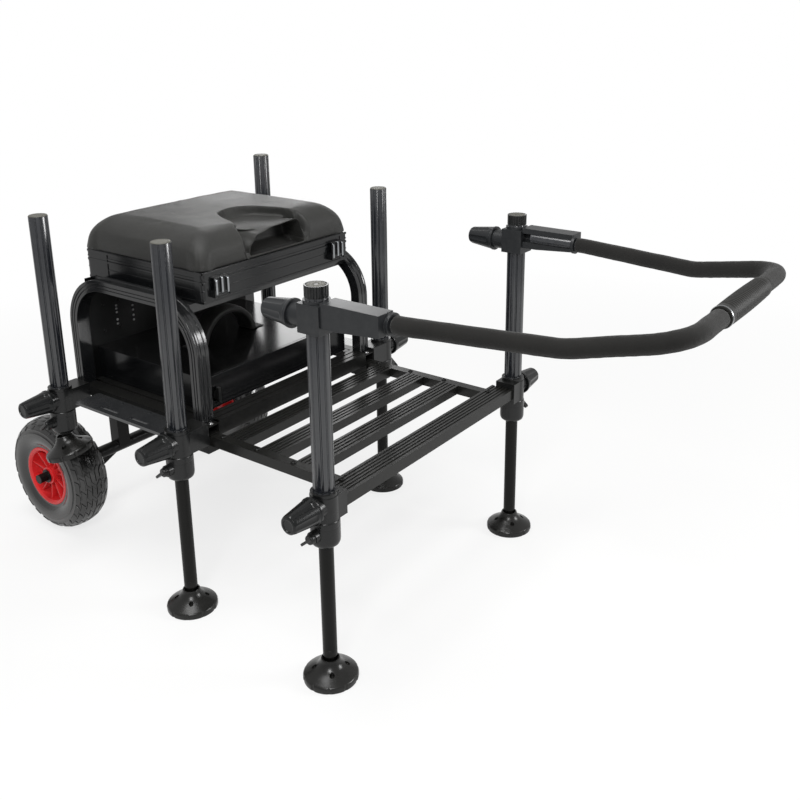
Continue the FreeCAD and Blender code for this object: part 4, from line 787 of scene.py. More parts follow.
def makeFoot():
    low, r = footLook["sole"], footLook["radius"]
    dome = [(0.0440, low + 0.0135), (0.0400, low + 0.0162), (0.0350, low + 0.0192), (0.0300, low + 0.0222),
            (0.0255, low + 0.0252), (0.0222, low + 0.0282), (0.0200, low + 0.0315)]
    outline = [(0, low + 0.001), (0.040, low + 0.001), (0.0405, low), (r - 0.0022, low),
               (r - 0.0006, low + 0.0010), (r, low + 0.0030),
               (r, low + 0.0085), (r - 0.0008, low + 0.0110), (r - 0.0022, low + 0.0125)] + dome + [
               (0.0178, low + 0.0345), (0.0168, low + 0.0385), (0.0158, low + 0.0402), (0.0140, low + 0.0404),
               (0.0128, low + 0.0390), (0.0112, 0.004), (0.0104, 0.0), (0.0080, -0.0075), (0, -0.0102)]
    foot = smoothShape(spinShape("footPattern", outline, 80), 35)
    holes = []
    for at in range(footLook["screws"]):
        turn = math.radians(45 + at * 360 / footLook["screws"])
        reach = footLook["screwReach"]
        spot = (reach * math.cos(turn), reach * math.sin(turn))
        holes.append(rodBlank(f"footHole_{at}", 0.0044, low + 0.0190, low + 0.04, "Z", spot, 24))
    for at in range(footLook["notches"]):
        turn = 2 * math.pi * at / footLook["notches"]
        spot = ((r + 0.0022) * math.cos(turn), (r + 0.0022) * math.sin(turn))
        holes.append(rodBlank(f"footNotch_{at}", 0.0045, low - 0.002, low + 0.02, "Z", spot, 20))
    shapeWith(foot, joined("footCuts", *holes))
    return softenEdges(foot, 0.0005, 2, 40)


def makeScrew(name, radius, tall):
    # pan head with a recessed six-sided socket
    outline = [(0, 0), (radius, 0), (radius, tall * 0.5), (radius * 0.88, tall * 0.85), (radius * 0.6, tall),
               (0, tall)]
    screw = spinShape(name, outline, 20)
    socket = rodBlank(name + "Socket", radius * 0.45, tall * 0.35, tall * 2, "Z", (0, 0), 6)
    return smoothShape(shapeWith(screw, socket), 30)


def makeFeet():
    inner, foot, screw = makeInner(), makeFoot(), makeScrew("footScrew", 0.0034, 0.0026)
    low = footLook["sole"] + 0.0112
    screws = []
    for at in range(footLook["screws"]):
        turn = math.radians(45 + at * 360 / footLook["screws"])
        reach = footLook["screwReach"]
        screws.append(setDown(twin(screw, f"footScrew_{at}"),
                              (reach * math.cos(turn), reach * math.sin(turn), low)))
    screwSet = joined("footScrewSet", *screws)
    for name, leg in legs.items():
        dress(atLeg(twin(inner, "innerTube_" + name), leg, leg["foot"]), "innerTube", "inner_tube",
              "inner_" + name, "inner_leg_" + name)
        tilt = Matrix()
        if leg["foot"]:
            axis = Vector((0.81068, -0.58549 * leg["side"], 0))
            tilt = Matrix.Rotation(math.radians(-footLook["tiltDegrees"]), 4, axis)
        for pattern, title, finish, slotName in ((foot, "foot_", "footBlack", "foot_plastic"),
                                                 (screwSet, "footScrews_", "screwSteel", "latch_chrome")):
            piece = twin(pattern, title + name)
            setDown(piece, (legOut * leg["side"], leg["depth"], leg["foot"] - footLook["sole"]), tilt.to_euler())
            nodes = ["mud_foot_" + name] if pattern is foot else []
            dress(piece, finish, slotName, "foot_" + name, *nodes)
    for pattern in (inner, foot, screw, screwSet):
        bpy.data.objects.remove(pattern, do_unlink=True)
    print("inner legs and feet: 6 of each")


makeFeet()

# ---- clamp knobs and wing screws
knobLook = {"flange": 0.0240, "flangeThick": 0.005, "base": 0.0228, "tip": 0.0168, "long": 0.054,
            "scoops": 6, "scoopRadius": 0.0135, "scoopSink": 0.0030}


def makeKnob():
    k = knobLook
    thick, end = k["flangeThick"], k["flangeThick"] + k["long"]
    outline = [(0, 0), (k["flange"] - 0.0006, 0), (k["flange"], 0.0006), (k["flange"], thick - 0.001),
               (k["flange"] - 0.001, thick), (k["base"] + 0.0004, thick + 0.0002), (k["base"], thick + 0.0012),
               (k["tip"] + 0.0003, end - 0.0062), (k["tip"] - 0.0002, end - 0.0040),
               (k["tip"] - 0.0012, end - 0.0020),
               (k["tip"] - 0.0030, end - 0.0006), (0.0112, end), (0.0102, end - 0.0003), (0.0096, end - 0.0014),
               (0.0080, end - 0.0016), (0, end - 0.0016)]
    knob = spinShape("knobPattern", outline, 96)
    lean = math.atan2(k["base"] - k["tip"], k["long"])
    cutters = []
    for at in range(k["scoops"]):
        letGo()
        bpy.ops.mesh.primitive_uv_sphere_add(segments=40, ring_count=20, radius=k["scoopRadius"],
                                             location=(0, 0, 0))
        cutter = named(f"scoop_{at}")
        net = editStart(cutter, "VERT")
        choose(cutter, net, net.verts, lambda corner: corner.co.z > 0.0001)
        bpy.ops.transform.translate(value=(0, 0, 0.08))
        choose(cutter, net, net.verts, lambda corner: corner.co.z < -0.0001)
        bpy.ops.transform.resize(value=(1, 1, 0.55), center_override=(0, 0, 0))
        editEnd()
        setDown(cutter, (0, 0, 0), (0, -lean, 0))
        reach = k["base"] + k["scoopRadius"] - k["scoopSink"]
        setDown(cutter, (reach, 0, thick + 0.0105))
        setDown(cutter, (0, 0, 0), (0, 0, 2 * math.pi * (at + 0.5) / k["scoops"]))
        cutters.append(cutter)
    shapeWith(knob, joined("scoops", *cutters))
    softenEdges(knob, 0.0007, 3, 24)
    screw = rodBlank("knobScrew", 0.005, -0.0094, 0.004, "Z", (0, 0), 24)
    knob = joined("knobPattern", knob, smoothShape(screw, 30))
    return setDown(knob, (0, 0, 0), (0, math.pi / 2, 0))


wingLook = {"hub": 0.0098, "long": 0.0085, "half": 0.0165, "thick": 0.0048, "from": 0.0040, "rise": 0.0155,
            "turnDegrees": -50}


def makeWing():
    w = wingLook
    hub = spinShape("wingHub", [(0, 0), (w["hub"], 0), (w["hub"], 0.0020), (w["hub"] * 0.90, 0.0040),
                                (w["hub"] * 0.84, w["long"] - 0.001), (w["hub"] * 0.70, w["long"]),
                                (0, w["long"])], 32)
    bar = block("wing", (-w["half"], -w["thick"] / 2, w["from"]), (w["half"], w["thick"] / 2, w["rise"]))
    net = editStart(bar, "EDGE")
    choose(bar, net, net.edges, lambda edge: abs(edge.verts[0].co.y - edge.verts[1].co.y) > 0.003)
    bpy.ops.mesh.bevel(offset=0.0042, segments=5)
    editEnd()
    useModifier(bar, "BEVEL", width=0.0011, segments=3, limit_method="ANGLE", angle_limit=math.radians(40))
    shapeWith(hub, bar, "UNION")
    softenEdges(hub, 0.0005, 2, 35)
    shank = smoothShape(rodBlank("wingShank", 0.004, -0.0199, 0.003, "Z", (0, 0), 20), 30)
    wingScrew = joined("wingPattern", hub, shank)
    setDown(wingScrew, (0, 0, 0), (0, 0, math.radians(w["turnDegrees"])))
    return setDown(wingScrew, (0, 0, 0), (0, math.pi / 2, 0))


def makeKnobs():
    knob, wing = makeKnob(), makeWing()
    for name, leg in legs.items():
        side = leg["side"]
        for pattern, title, node, out, high, finish, slotName in (
                (knob, "knob_", "clamp_knob_", 0.028, leg["clamp"] - 0.019, "knobPlastic", "knob_plastic"),
                (wing, "wingScrew_", "thumbscrew_", 0.033, leg["clamp"] - 0.0668, "castBlack", "thumb_plastic")):
            piece = twin(pattern, title + name)
            setDown(piece, (out, 0, 0))
            atLeg(piece, leg, high)
            dress(piece, finish, slotName, node + name, node + name)
    for word, side in (("right", -1), ("left", 1)):
        piece = twin(knob, "armKnob_" + word)
        setDown(piece, (0, 0, 0), (0, 0, math.pi / 2))
        high = (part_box("arm_knob_" + word)[0].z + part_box("arm_knob_" + word)[1].z) / 2
        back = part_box("arm_knob_" + word)[1].y - (knobLook["flangeThick"] + knobLook["long"])
        setDown(piece, (legOut * side, back, high))
        dress(piece, "headGrey", "knob_plastic", "arm_knob_" + word, "arm_knob_" + word)
    for pattern in (knob, wing):
        bpy.data.objects.remove(pattern, do_unlink=True)
    print("knobs: 8, wing screws: 6")


makeKnobs()

# ---- castings, rails and sheet parts, with softened edges
softened = {  # node: edge width, finish, slot, body
    "seat_leg_clamps": (0.0010, "castBlack", "cast_black", "seat_frame"),
    "footplate_leg_clamps": (0.0010, "castBlack", "cast_black", "footplate"),
    "arm_heads": (0.0011, "headGrey", "head_plastic", "bar_carrier"),
    "bar_sockets": (0.0012, "headGrey", "head_plastic", "bar_carrier"),
    "seat_rails": (0.0007, "frameBlack", "frame_black", "seat_frame"),
    "side_plates": (0.0005, "plateGrey", "plate_grey", "seat_frame"),
    "arches": (0.0011, "archBlack", "arch_black", "seat_frame"),
    "tray_beams": (0.0009, "archBlack", "arch_black", "seat_frame"),
    "tray_body": (0.0005, "trayBlack", "tray_black", "seat_frame"),
    "lid_frame": (0.0005, "trayBlack", "tray_black", "lid"),
    "rear_panel": (0.0005, "panelBlack", "panel_black", "seat_frame"),
    "lower_case": (0.0008, "caseGloss", "case_gloss", "seat_frame"),
    "lower_drawer": (0.0008, "caseGloss", "case_gloss", "drawer"),
    "drawer_catch": (0.0005, "castBlack", "latch_chrome", "drawer_catch"),
    "wheel_frame": (0.0008, "frameBlack", "frame_black", "seat_frame"),
    "footplate_frame": (0.0007, "deckBlack", "deck_black", "footplate"),
    "footplate_slats": (0.0007, "deckBlack", "deck_black", "footplate"),
}


archLook = {
    "grooves": (0.27, 0.44, 0.62, 0.79),  # edges of the two grooves, as shares of the bar's width
    "deep": 0.0011, "middle": 0.33625, "legReach": 0.178, "foot": 0.361,
}
spindleEnd = 0.303


def grooveArches(shape):
    # two grooves run round the outer face of each arch
    reach = [abs(corner.co.x) for corner in shape.data.vertices]
    near, far = min(reach), max(reach)
    cuts = [near + (far - near) * share for share in archLook["grooves"]]
    editStart(shape)
    for side in (-1, 1):
        for at in cuts:
            bpy.ops.mesh.select_all(action="SELECT")
            bpy.ops.mesh.bisect(plane_co=(at * side, 0, 0), plane_no=(1, 0, 0))

    def inGroove(face):
        middle, way = face.calc_center_median(), face.normal
        across, ahead = abs(middle.x), middle.y - archLook["middle"]
        if not (cuts[0] < across < cuts[1] or cuts[2] < across < cuts[3]) or abs(way.x) > 0.1:
            return False
        if abs(way.z) < 0.05:
            return ahead * way.y > 0 and middle.z > archLook["foot"] and abs(ahead) > archLook["legReach"]
        return way.z > 0
    net = bmesh.from_edit_mesh(shape.data)
    choose(shape, net, net.faces, inGroove)
    bpy.ops.mesh.extrude_region_shrink_fatten(TRANSFORM_OT_shrink_fatten={"value": -archLook["deep"]})
    editEnd()


def softenFrame():
    for node, (width, finish, slotName, body) in softened.items():
        shape = fromCad(node, "soft_" + node)
        useModifier(shape, "BEVEL", width=width, segments=2, limit_method="ANGLE",
                    angle_limit=math.radians(38), use_clamp_overlap=True)
        if node == "wheel_frame":
            for side in (-1, 1):  # the spindles end just outside the hubs
                editStart(shape)
                bpy.ops.mesh.select_all(action="SELECT")
                bpy.ops.mesh.bisect(plane_co=(spindleEnd * side, 0, 0), plane_no=(side, 0, 0),
                                    use_fill=True, clear_outer=True)
                editEnd()
        if node == "arches":
            grooveArches(shape)
        flatFaces(shape, 44)
        dress(shape, finish, slotName, body, node)
    print("softened:", len(softened), "frame nodes")


softenFrame()

# ---- wheels
wheelLook = {"radius": 0.1255, "out": 0.248, "depth": 0.62775, "high": 0.127, "steps": 96,
             "blockDeep": 0.0019, "lean": 1.9}
# half section of the tyre: reach from the axle, distance from its middle
tyreHalf = [(0.1255, 0.0), (0.1255, 0.0011), (0.1249, 0.0105), (0.1246, 0.0121), (0.1226, 0.0215),
            (0.1218, 0.0231),
            (0.1170, 0.0318), (0.1160, 0.0330), (0.1085, 0.0388), (0.1075, 0.0394), (0.1000, 0.0421),
            (0.0920, 0.0430),
            (0.0840, 0.0420), (0.0770, 0.0392), (0.0722, 0.0356), (0.0700, 0.0345), (0.0668, 0.0348)]


def makeTyre():
    outer = tyreHalf + [(0.0645, 0.0330), (0.0640, 0.0300)]
    outline = [(r, -w) for r, w in reversed(outer[1:])] + outer
    tyre = spinShape("tyrePattern", outline, wheelLook["steps"])
    step = 2 * math.pi / wheelLook["steps"]
    # lean the tread bands over into a chevron before the blocks are raised
    for corner in tyre.data.vertices:
        reach = math.hypot(corner.co.x, corner.co.y)
        if reach > 0.104:
            turn = math.atan2(corner.co.y, corner.co.x)
            turn += step * wheelLook["lean"] * abs(corner.co.z) / 0.0125
            corner.co.x, corner.co.y = reach * math.cos(turn), reach * math.sin(turn)
    bands = [(0.0011, 0.0105), (0.0121, 0.0215), (0.0231, 0.0318), (0.0330, 0.0388)]
    net = editStart(tyre, "FACE")

    def inBlock(face):
        middle = face.calc_center_median()
        high = abs(middle.z)
        if middle.xy.length < 0.104:
            return False
        for at, (start, end) in enumerate(bands):
            if start < high < end:
                turn = math.atan2(middle.y, middle.x) - step * wheelLook["lean"] * high / 0.0125
                shift = 2 if (at % 2) else 0
                return (round(turn / step - 0.5) + shift + (1 if middle.z > 0 else 0)) % 4 != 0
        return False
    choose(tyre, net, net.faces, inBlock)
    bpy.ops.mesh.inset(thickness=0.0008, depth=wheelLook["blockDeep"], use_boundary=True)
    # two fine rings on each side wall
    choose(tyre, net, net.faces, lambda face: 0.0975 < face.calc_center_median().xy.length < 0.104
           and abs(face.normal.z) > 0.5)
    bpy.ops.mesh.inset(thickness=0.0007, depth=-0.0004, use_boundary=True)
    editEnd()
    tidyShape(tyre)
    smoothShape(tyre, 38)
    return tyre


rimLook = {"ribs": 10, "spinSteps": 72}


def makeRim():
    # one face out at +Z: flange, barrel, sloping dish, web, hub
    outline = [(0.0602, 0.0355), (0.0618, 0.0362), (0.0655, 0.0358), (0.0668, 0.0345), (0.0664, 0.0334),
               (0.0640, 0.0325),
               (0.0612, 0.0300), (0.0608, -0.0300), (0.0640, -0.0325), (0.0664, -0.0334), (0.0668, -0.0345),
               (0.0655, -0.0358), (0.0618, -0.0362), (0.0602, -0.0355), (0.0575, -0.0330), (0.0560, -0.0080),
               (0.0530, 0.0040), (0.0250, 0.0050), (0.0205, -0.0080), (0.0190, -0.0305), (0.0182, -0.0315),
               (0.0112, -0.0315), (0.0104, -0.0308), (0.0104, 0.0308), (0.0112, 0.0318), (0.0182, 0.0318),
               (0.0192, 0.0308), (0.0205, 0.0165), (0.0240, 0.0120), (0.0520, 0.0108), (0.0555, 0.0150),
               (0.0572, 0.0325)]
    rim = spinShape("rimPattern", outline, rimLook["spinSteps"])
    smoothShape(rim, 35)
    rib = block("rimRib", (0.0185, -0.0024, 0.0080), (0.0585, 0.0024, 0.0250))
    net = editStart(rib, "VERT")
    choose(rib, net, net.verts, lambda corner: corner.co.x > 0.05 and corner.co.z > 0.02)
    bpy.ops.transform.translate(value=(0, 0, 0.0050))
    choose(rib, net, net.verts, lambda corner: corner.co.z > 0.02)
    bpy.ops.transform.resize(value=(1, 0.7, 1), center_override=(0, 0, 0))
    editEnd()
    useModifier(rib, "BEVEL", width=0.0008, segments=2, limit_method="ANGLE", angle_limit=math.radians(40))
    smoothShape(rib, 40)
    parts = [rim]
    for at in range(rimLook["ribs"]):
        copy = twin(rib, f"rimRib_{at}")
        parts.append(setDown(copy, (0, 0, 0), (0, 0, 2 * math.pi * at / rimLook["ribs"])))
    # the seat for the bearing stands out of the hub
    seat = spinShape("hubSeat",
                     [(0.0104, 0.0305), (0.0150, 0.0305), (0.0150, 0.0335), (0.0142, 0.0342), (0.0112, 0.0342),
                                 (0.0104, 0.0334)], 48)
    parts.append(smoothShape(seat, 30))
    bpy.data.objects.remove(rib, do_unlink=True)
    return joined("rimPattern", *parts)


def makeWheels():
    tyre, rim = makeTyre(), makeRim()
    for word, side in (("right", -1), ("left", 1)):
        spot = (wheelLook["out"] * side, wheelLook["depth"], wheelLook["high"])
        for pattern, title, finish, slotName in ((tyre, "tyre_", "tyreRubber", "tyre"),
                                                 (rim, "rim_", "rimRed", "rim_red")):
            piece = twin(pattern, "wheel_" + title + word)
            setDown(piece, (0, 0, 0), (0, math.pi / 2 * side, 0))
            setDown(piece, spot)
            dress(piece, finish, slotName, "wheel_" + word, title + word)
    for pattern in (tyre, rim):
        bpy.data.objects.remove(pattern, do_unlink=True)
    print("wheels: 2 tyres with tread and 2 ribbed rims")


makeWheels()

# ---- draw latches on the front of the tray
latchLook = {"half": 0.017, "thick": 0.0022, "ribHalf": 0.0023,
             # across, low, short
             "ribs": ((-0.0142, 0.0040, 0.0030), (0.0, 0.0060, 0.0), (0.0142, 0.0040, 0.0030))}


def makeLatches():
    for word in ("right", "left"):
        low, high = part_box("latch_" + word)
        middle = (low.x + high.x) / 2
        half, front, foot, top = latchLook["half"], low.y, low.z, high.z
        plate = block("latchPlate_" + word, (middle - half, front + 0.0030, foot + 0.002),
                      (middle + half, front + 0.0030 + latchLook["thick"], top - 0.001))
        net = editStart(plate, "FACE")
        choose(plate, net, net.faces, lambda face: face.normal.y < -0.9)
        bpy.ops.mesh.inset(thickness=0.0022, depth=0)
        bpy.ops.mesh.inset(thickness=0.0006, depth=-0.0007)
        editEnd()
        parts = [softenEdges(plate, 0.0005)]
        hook = block("latchHook_" + word, (middle - half, front + 0.0036, top - 0.0025),
                     (middle + half, front + 0.0095, top))
        parts.append(softenEdges(hook, 0.0007, 3))
        barrel = rodBlank("latchBarrel_" + word, 0.0026, middle - half - 0.0032, middle + half + 0.0032, "X",
                          (front + 0.0050, 0.596), 24)
        parts.append(softenEdges(barrel, 0.0005))
        dress(joined("latchPlate_" + word, *parts), "knobPlastic", "latch_chrome", "latch_" + word,
              "latch_" + word)
        ribs = []
        for at, low, short in latchLook["ribs"]:
            rib = block(f"latchRib_{word}", (middle + at - latchLook["ribHalf"], front - 0.0002, foot + low),
                        (middle + at + latchLook["ribHalf"], front + 0.0040, top - short))
            net = editStart(rib, "EDGE")
            choose(rib, net, net.edges, lambda edge: all(end.co.y < front + 0.001 for end in edge.verts)
                   and abs(edge.verts[0].co.z - edge.verts[1].co.z) < 0.001)
            bpy.ops.mesh.bevel(offset=0.0034, segments=5)
            editEnd()
            ribs.append(softenEdges(rib, 0.0008, 3))
        dress(joined("latchRibs_" + word, *ribs), "latchChrome", "latch_chrome", "latch_" + word)
    print("latches: 2")


makeLatches()

# ---- seat cushion
padLook = {"shrink": 0.985, "voxel": 0.0043, "pressure": 1.2, "cap": 0.0014, "base": 0.6402, "fill": 0.85,
           "cornerPush": 0.0105, "foldDeep": 0.0042, "foldWide": 0.0045, "round": 0.0200, "crown": 0.0050,
           "lipDeep": 0.070, "lipThick": 0.0062}
# height of the flap over the hand hold along the front, as (across, height)
flapLine = [(-0.090, 0.650), (-0.080, 0.652), (-0.067, 0.669), (-0.050, 0.685), (0.0, 0.6935), (0.060, 0.697),
            (0.070, 0.692), (0.077, 0.672), (0.090, 0.655)]


def flapAt(across):
    for (x0, z0), (x1, z1) in zip(flapLine, flapLine[1:]):
        if x0 <= across <= x1:
            share = (across - x0) / (x1 - x0)
            return z0 + (z1 - z0) * share * share * (3 - 2 * share)
    return None


def puff(shape, pressure, cap, held=None, still=None, frames=20):
    # blow the cover up a little with cloth, then keep how far each point moved under the cap
    start = [corner.co.copy() for corner in shape.data.vertices]
    hold(shape)
    if held:
        group = shape.vertex_groups.new(name="held")
        group.add([i for i, spot in enumerate(start) if held(spot)], 1.0, "ADD")
    bpy.ops.object.modifier_add(type="CLOTH")
    cloth = shape.modifiers[-1]
    cloth.settings.quality = 5
    cloth.settings.mass = 0.3
    cloth.settings.tension_stiffness = 18
    cloth.settings.compression_stiffness = 18
    cloth.settings.shear_stiffness = 8
    cloth.settings.bending_stiffness = 8
    cloth.settings.use_pressure = True
    cloth.settings.uniform_pressure_force = pressure
    cloth.settings.effector_weights.gravity = 0
    if held:
        cloth.settings.vertex_group_mass = "held"
    cloth.point_cache.frame_start, cloth.point_cache.frame_end = 1, frames
    for at in range(1, frames + 1):
        bpy.context.scene.frame_set(at)
    bpy.ops.object.modifier_apply(modifier=cloth.name)
    bpy.context.scene.frame_set(1)
    for corner, spot in zip(shape.data.vertices, start):
        move = corner.co - spot
        reach = cap * (still(spot) if still else 1.0)
        if move.length > reach:
            corner.co = spot + move * (reach / move.length)
    shape.vertex_groups.clear()


def makeCushion():
    low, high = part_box("seat_cushion")
    middle = (low + high) / 2
    pad = fromCad("seat_cushion", "paddedSeat")
    shrink = padLook["shrink"]
    for corner in pad.data.vertices:
        corner.co.x *= shrink
        corner.co.y = middle.y + (corner.co.y - middle.y) * shrink
        corner.co.z = low.z + (corner.co.z - low.z) * 0.965
    useModifier(pad, "REMESH", mode="VOXEL", voxel_size=padLook["voxel"], adaptivity=0)
    puff(pad, padLook["pressure"], padLook["cap"], lambda spot: spot.z < low.z + 0.004,
         lambda spot: min(1.0, max(0.0, (abs(spot.x) - 0.094) / 0.045, (spot.y - low.y - 0.148) / 0.060)))
    halfX, halfY = (high.x - low.x) / 2, (high.y - low.y) / 2
    for corner in pad.data.vertices:
        spot = corner.co
        aside, ahead, deep = spot.x, spot.y - middle.y, spot.y - low.y
        lift = (spot.z - low.z) / (high.z - low.z)
        # the flap over the hand hold rises to the middle and falls to its ends
        flap = flapAt(aside)
        if flap is not None and deep < padLook["lipDeep"] and spot.z > 0.660 and lift < 0.90:
            share = max(0.0, 1 - deep / padLook["lipDeep"])
            share = share * share * (3 - 2 * share)
            above = spot.z > 0.6862
            spot.z += ((flap if above else flap - padLook["lipThick"]) - (0.692 if above else 0.6805)) * share
        # the hand hold is open down to the lid and reaches further in under the flap
        if abs(aside) < 0.080 and 0.004 < deep < 0.062 and spot.z < 0.653:
            spot.z = padLook["base"]
        if abs(aside) < 0.076 and 0.024 < deep < 0.056 and 0.642 < spot.z < 0.6845:
            spot.y += 0.022
        # square the corners of the cover near its foot
        nearX, nearY = halfX - abs(aside), halfY - abs(ahead)
        both = max(0.0, 1 - nearX / 0.040) * max(0.0, 1 - nearY / 0.040)
        push = padLook["cornerPush"] * min(1.0, both * 2.6) * max(0.0, 1 - lift * 1.15)
        spot.x += math.copysign(push * 0.7, aside)
        spot.y += math.copysign(push * 0.7, ahead)
        # gathered fold running down each corner
        along, out = (nearX - nearY) / 1.414, (nearX + nearY) / 1.414
        if out < 0.055 and lift < 0.75:
            fade = max(0.0, 1 - lift / 0.62)
            fold = padLook["foldDeep"] * math.exp(-(along / padLook["foldWide"]) ** 2) * fade
            rise = 0.35 * padLook["foldDeep"] * math.exp(-((abs(along) - 0.011) / 0.006) ** 2) * fade
            spot.x += math.copysign((rise - fold) * 0.7, aside)
            spot.y += math.copysign((rise - fold) * 0.7, ahead)
        # upright tuck at each end of the hand hold
        if deep < 0.02 and 0.645 < spot.z < 0.697:
            spot.y += 0.0035 * math.exp(-((abs(aside) - 0.0865) / 0.0028) ** 2)
        # wide soft shoulders and a slight crown
        lean = max(0.0, (lift - 0.26) / 0.74)
        lean = padLook["round"] * lean * lean
        spot.x *= 1 - lean / halfX
        spot.y = middle.y + (spot.y - middle.y) * (1 - lean / halfY)
        spot.z = max(spot.z, padLook["base"])
        if lift > 0.8:
            crown = max(0.0, 1 - (aside / halfX) ** 2) * max(0.0, 1 - (ahead / halfY) ** 2)
            spot.z += padLook["crown"] * crown * (lift - 0.8) / 0.2
        # small slow waves of a stuffed cover
        spot.z += 0.0006 * noise.noise(Vector((aside * 22, ahead * 22, 3.1))) * min(1.0, lift * 2)
    useModifier(pad, "SUBSURF", levels=1, render_levels=1)
    smoothShape(pad, 180)
    dress(pad, "seatHide", "cushion", "lid", "seat_cushion")
    print("cushion:", len(pad.data.polygons), "faces")


makeCushion()

# ---- front bar: foam, grip and the ring at its end
foamLook = {"voxel": 0.0032, "wave": 0.0005, "fill": 0.95, "smoothing": 8}
gripLook = {"ribs": 22, "ends": 0.018, "swell": 0.0011, "ribTall": 0.0007, "ringAt": 0.004}


def makeBar():
    foam = fromCad("bar_foam", "foamSleeves")
    useModifier(foam, "REMESH", mode="VOXEL", voxel_size=foamLook["voxel"], adaptivity=0)
    useModifier(foam, "SMOOTH", factor=0.5, iterations=foamLook["smoothing"])
    for corner in foam.data.vertices:
        spot = corner.co
        wave = noise.noise(spot * 26) + 0.5 * noise.noise(spot * 70)
        corner.co = spot + corner.normal * (foamLook["wave"] * wave + 0.0003)
    smoothShape(foam, 180)
    dress(foam, "barFoam", "bar_foam", "front_bar", "bar_foam")

    low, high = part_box("bar_grip")
    half, depth, level = (high.x - low.x) / 2, (low.y + high.y) / 2, (low.z + high.z) / 2
    r = (high.z - low.z) / 2
    outline = [(0.0101, -half + 0.001), (r - 0.0025, -half), (r - 0.0006, -half + 0.0008), (r, -half + 0.003),
               (r, -half + 0.014), (r - 0.0004, -half + 0.0155)]
    start, end = -half + gripLook["ends"], half - gripLook["ends"]
    pitch = (end - start) / gripLook["ribs"]
    for at in range(gripLook["ribs"]):
        x = start + at * pitch
        crest = r + gripLook["swell"] * math.cos(math.pi * (x + pitch / 2) / (2 * half))
        groove = crest - gripLook["ribTall"]
        outline += [(groove, x), (groove, x + pitch * 0.2), (crest, x + pitch * 0.45), (crest, x + pitch * 0.75)]
    outline += [(r - 0.0006, end), (r - 0.0004, half - 0.0155), (r, half - 0.014), (r, half - 0.003),
                (r - 0.0006, half - 0.0008), (r - 0.0025, half), (0.0101, half - 0.001)]
    grip = spinShape("gripSleeve", outline, 48)
    setDown(grip, (0, 0, 0), (0, math.pi / 2, 0))
    setDown(grip, (0, depth, level))
    smoothShape(grip, 50)
    dress(grip, "gripRubber", "grip_rubber", "front_bar", "bar_grip")
    ring = spinShape("gripRing",
                     [(r - 0.003, -0.002), (r + 0.0002, -0.002), (r + 0.0005, -0.0012), (r + 0.0005, 0.0012),
                                  (r + 0.0002, 0.002), (r - 0.003, 0.002)], 48)
    setDown(ring, (0, 0, 0), (0, math.pi / 2, 0))
    setDown(ring, (low.x + gripLook["ringAt"], depth, level))
    dress(smoothShape(ring, 30), "gripRing", "latch_chrome", "front_bar")
    print("front bar: foam, grip and ring")


makeBar()

# ---- carry strap over the lower case
strapLook = {"voxel": 0.0026, "fill": 0.8, "smoothing": 10, "swell": 0.0016, "seamAt": 0.82, "seamDeep": 0.0012,
             "seamWide": 0.06}


def makeStrap():
    strap = fromCad("carry_strap", "paddedStrap")
    useModifier(strap, "REMESH", mode="VOXEL", voxel_size=strapLook["voxel"], adaptivity=0)
    useModifier(strap, "SMOOTH", factor=0.5, iterations=strapLook["smoothing"])
    low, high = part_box("carry_strap")
    middle = (low + high) / 2
    for corner in strap.data.vertices:
        spot = corner.co
        across = abs(spot.y - middle.y) / ((high.y - low.y) / 2)
        if spot.z > low.z + 0.010:
            # stuffed in the middle and pinched along the seam near each edge
            swell = strapLook["swell"] * math.cos(min(1.0, across / 0.8) * math.pi / 2)
            pinch = math.exp(-((across - strapLook["seamAt"]) / strapLook["seamWide"]) ** 2)
            spot += corner.normal * (swell - strapLook["seamDeep"] * pinch)
        spot.z = max(spot.z, low.z + 0.0002)
    smoothShape(strap, 180)
    dress(strap, "strapWebbing", "strap_webbing", "seat_frame", "carry_strap")
    print("strap:", len(strap.data.polygons), "faces")


makeStrap()

# ---- mouldings and fasteners
seatFront = 0.15375  # the seat's own depth starts here in the frame
trimLook = {
    "halfSpan": 0.203, "front": 0.015 + seatFront, "back": 0.350 + seatFront, "rivet": 0.0027, "bolt": 0.0052,
    "bands": {  # name: level, tall, proud, body
        "trayRim": (0.6190, 0.0048, 0.0013, "seat_frame"),
        "trayWaist": (0.6040, 0.0022, 0.0009, "seat_frame"),
        "trayFootRim": (0.5830, 0.0046, 0.0014, "seat_frame"),
        "lidRim": (0.6370, 0.0042, 0.0016, "lid"),
        "lidFootRim": (0.6262, 0.0028, 0.0011, "lid"),
    },
}


def makeMouldings():
    # mouldings that run round the front and sides of the tray and the lid
    for name, (level, tall, proud, body) in trimLook["bands"].items():
        strips = []
        left, right = -trimLook["halfSpan"] - proud, trimLook["halfSpan"] + proud
        front, back = trimLook["front"] - proud, trimLook["back"]
        for at, (one, two) in enumerate((((left, front), (right, front + proud + 0.001)),
                                         ((left, front), (left + proud + 0.001, back)),
                                         ((right - proud - 0.001, front), (right, back)))):
            strip = block(f"{name}_{at}", (*one, level - tall / 2), (*two, level + tall / 2))
            strips.append(softenEdges(strip, 0.0005))
        dress(joined(name, *strips), "trayBlack", "tray_black", body)
    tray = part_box("tray_body")
    print("mouldings: tray", [round(v, 4) for v in tray[0]], [round(v, 4) for v in tray[1]])


def makeButton(name, radius, tall):
    # low button head with a round recess in its top
    outline = [(0, -0.0006), (radius * 0.96, -0.0006), (radius, 0.0), (radius, tall * 0.25),
               (radius * 0.86, tall * 0.66),
               (radius * 0.60, tall * 0.94), (radius * 0.46, tall), (radius * 0.42, tall * 0.96),
               (radius * 0.42, tall * 0.45),
               (0, tall * 0.40)]
    return smoothShape(spinShape(name, outline, 24), 40)


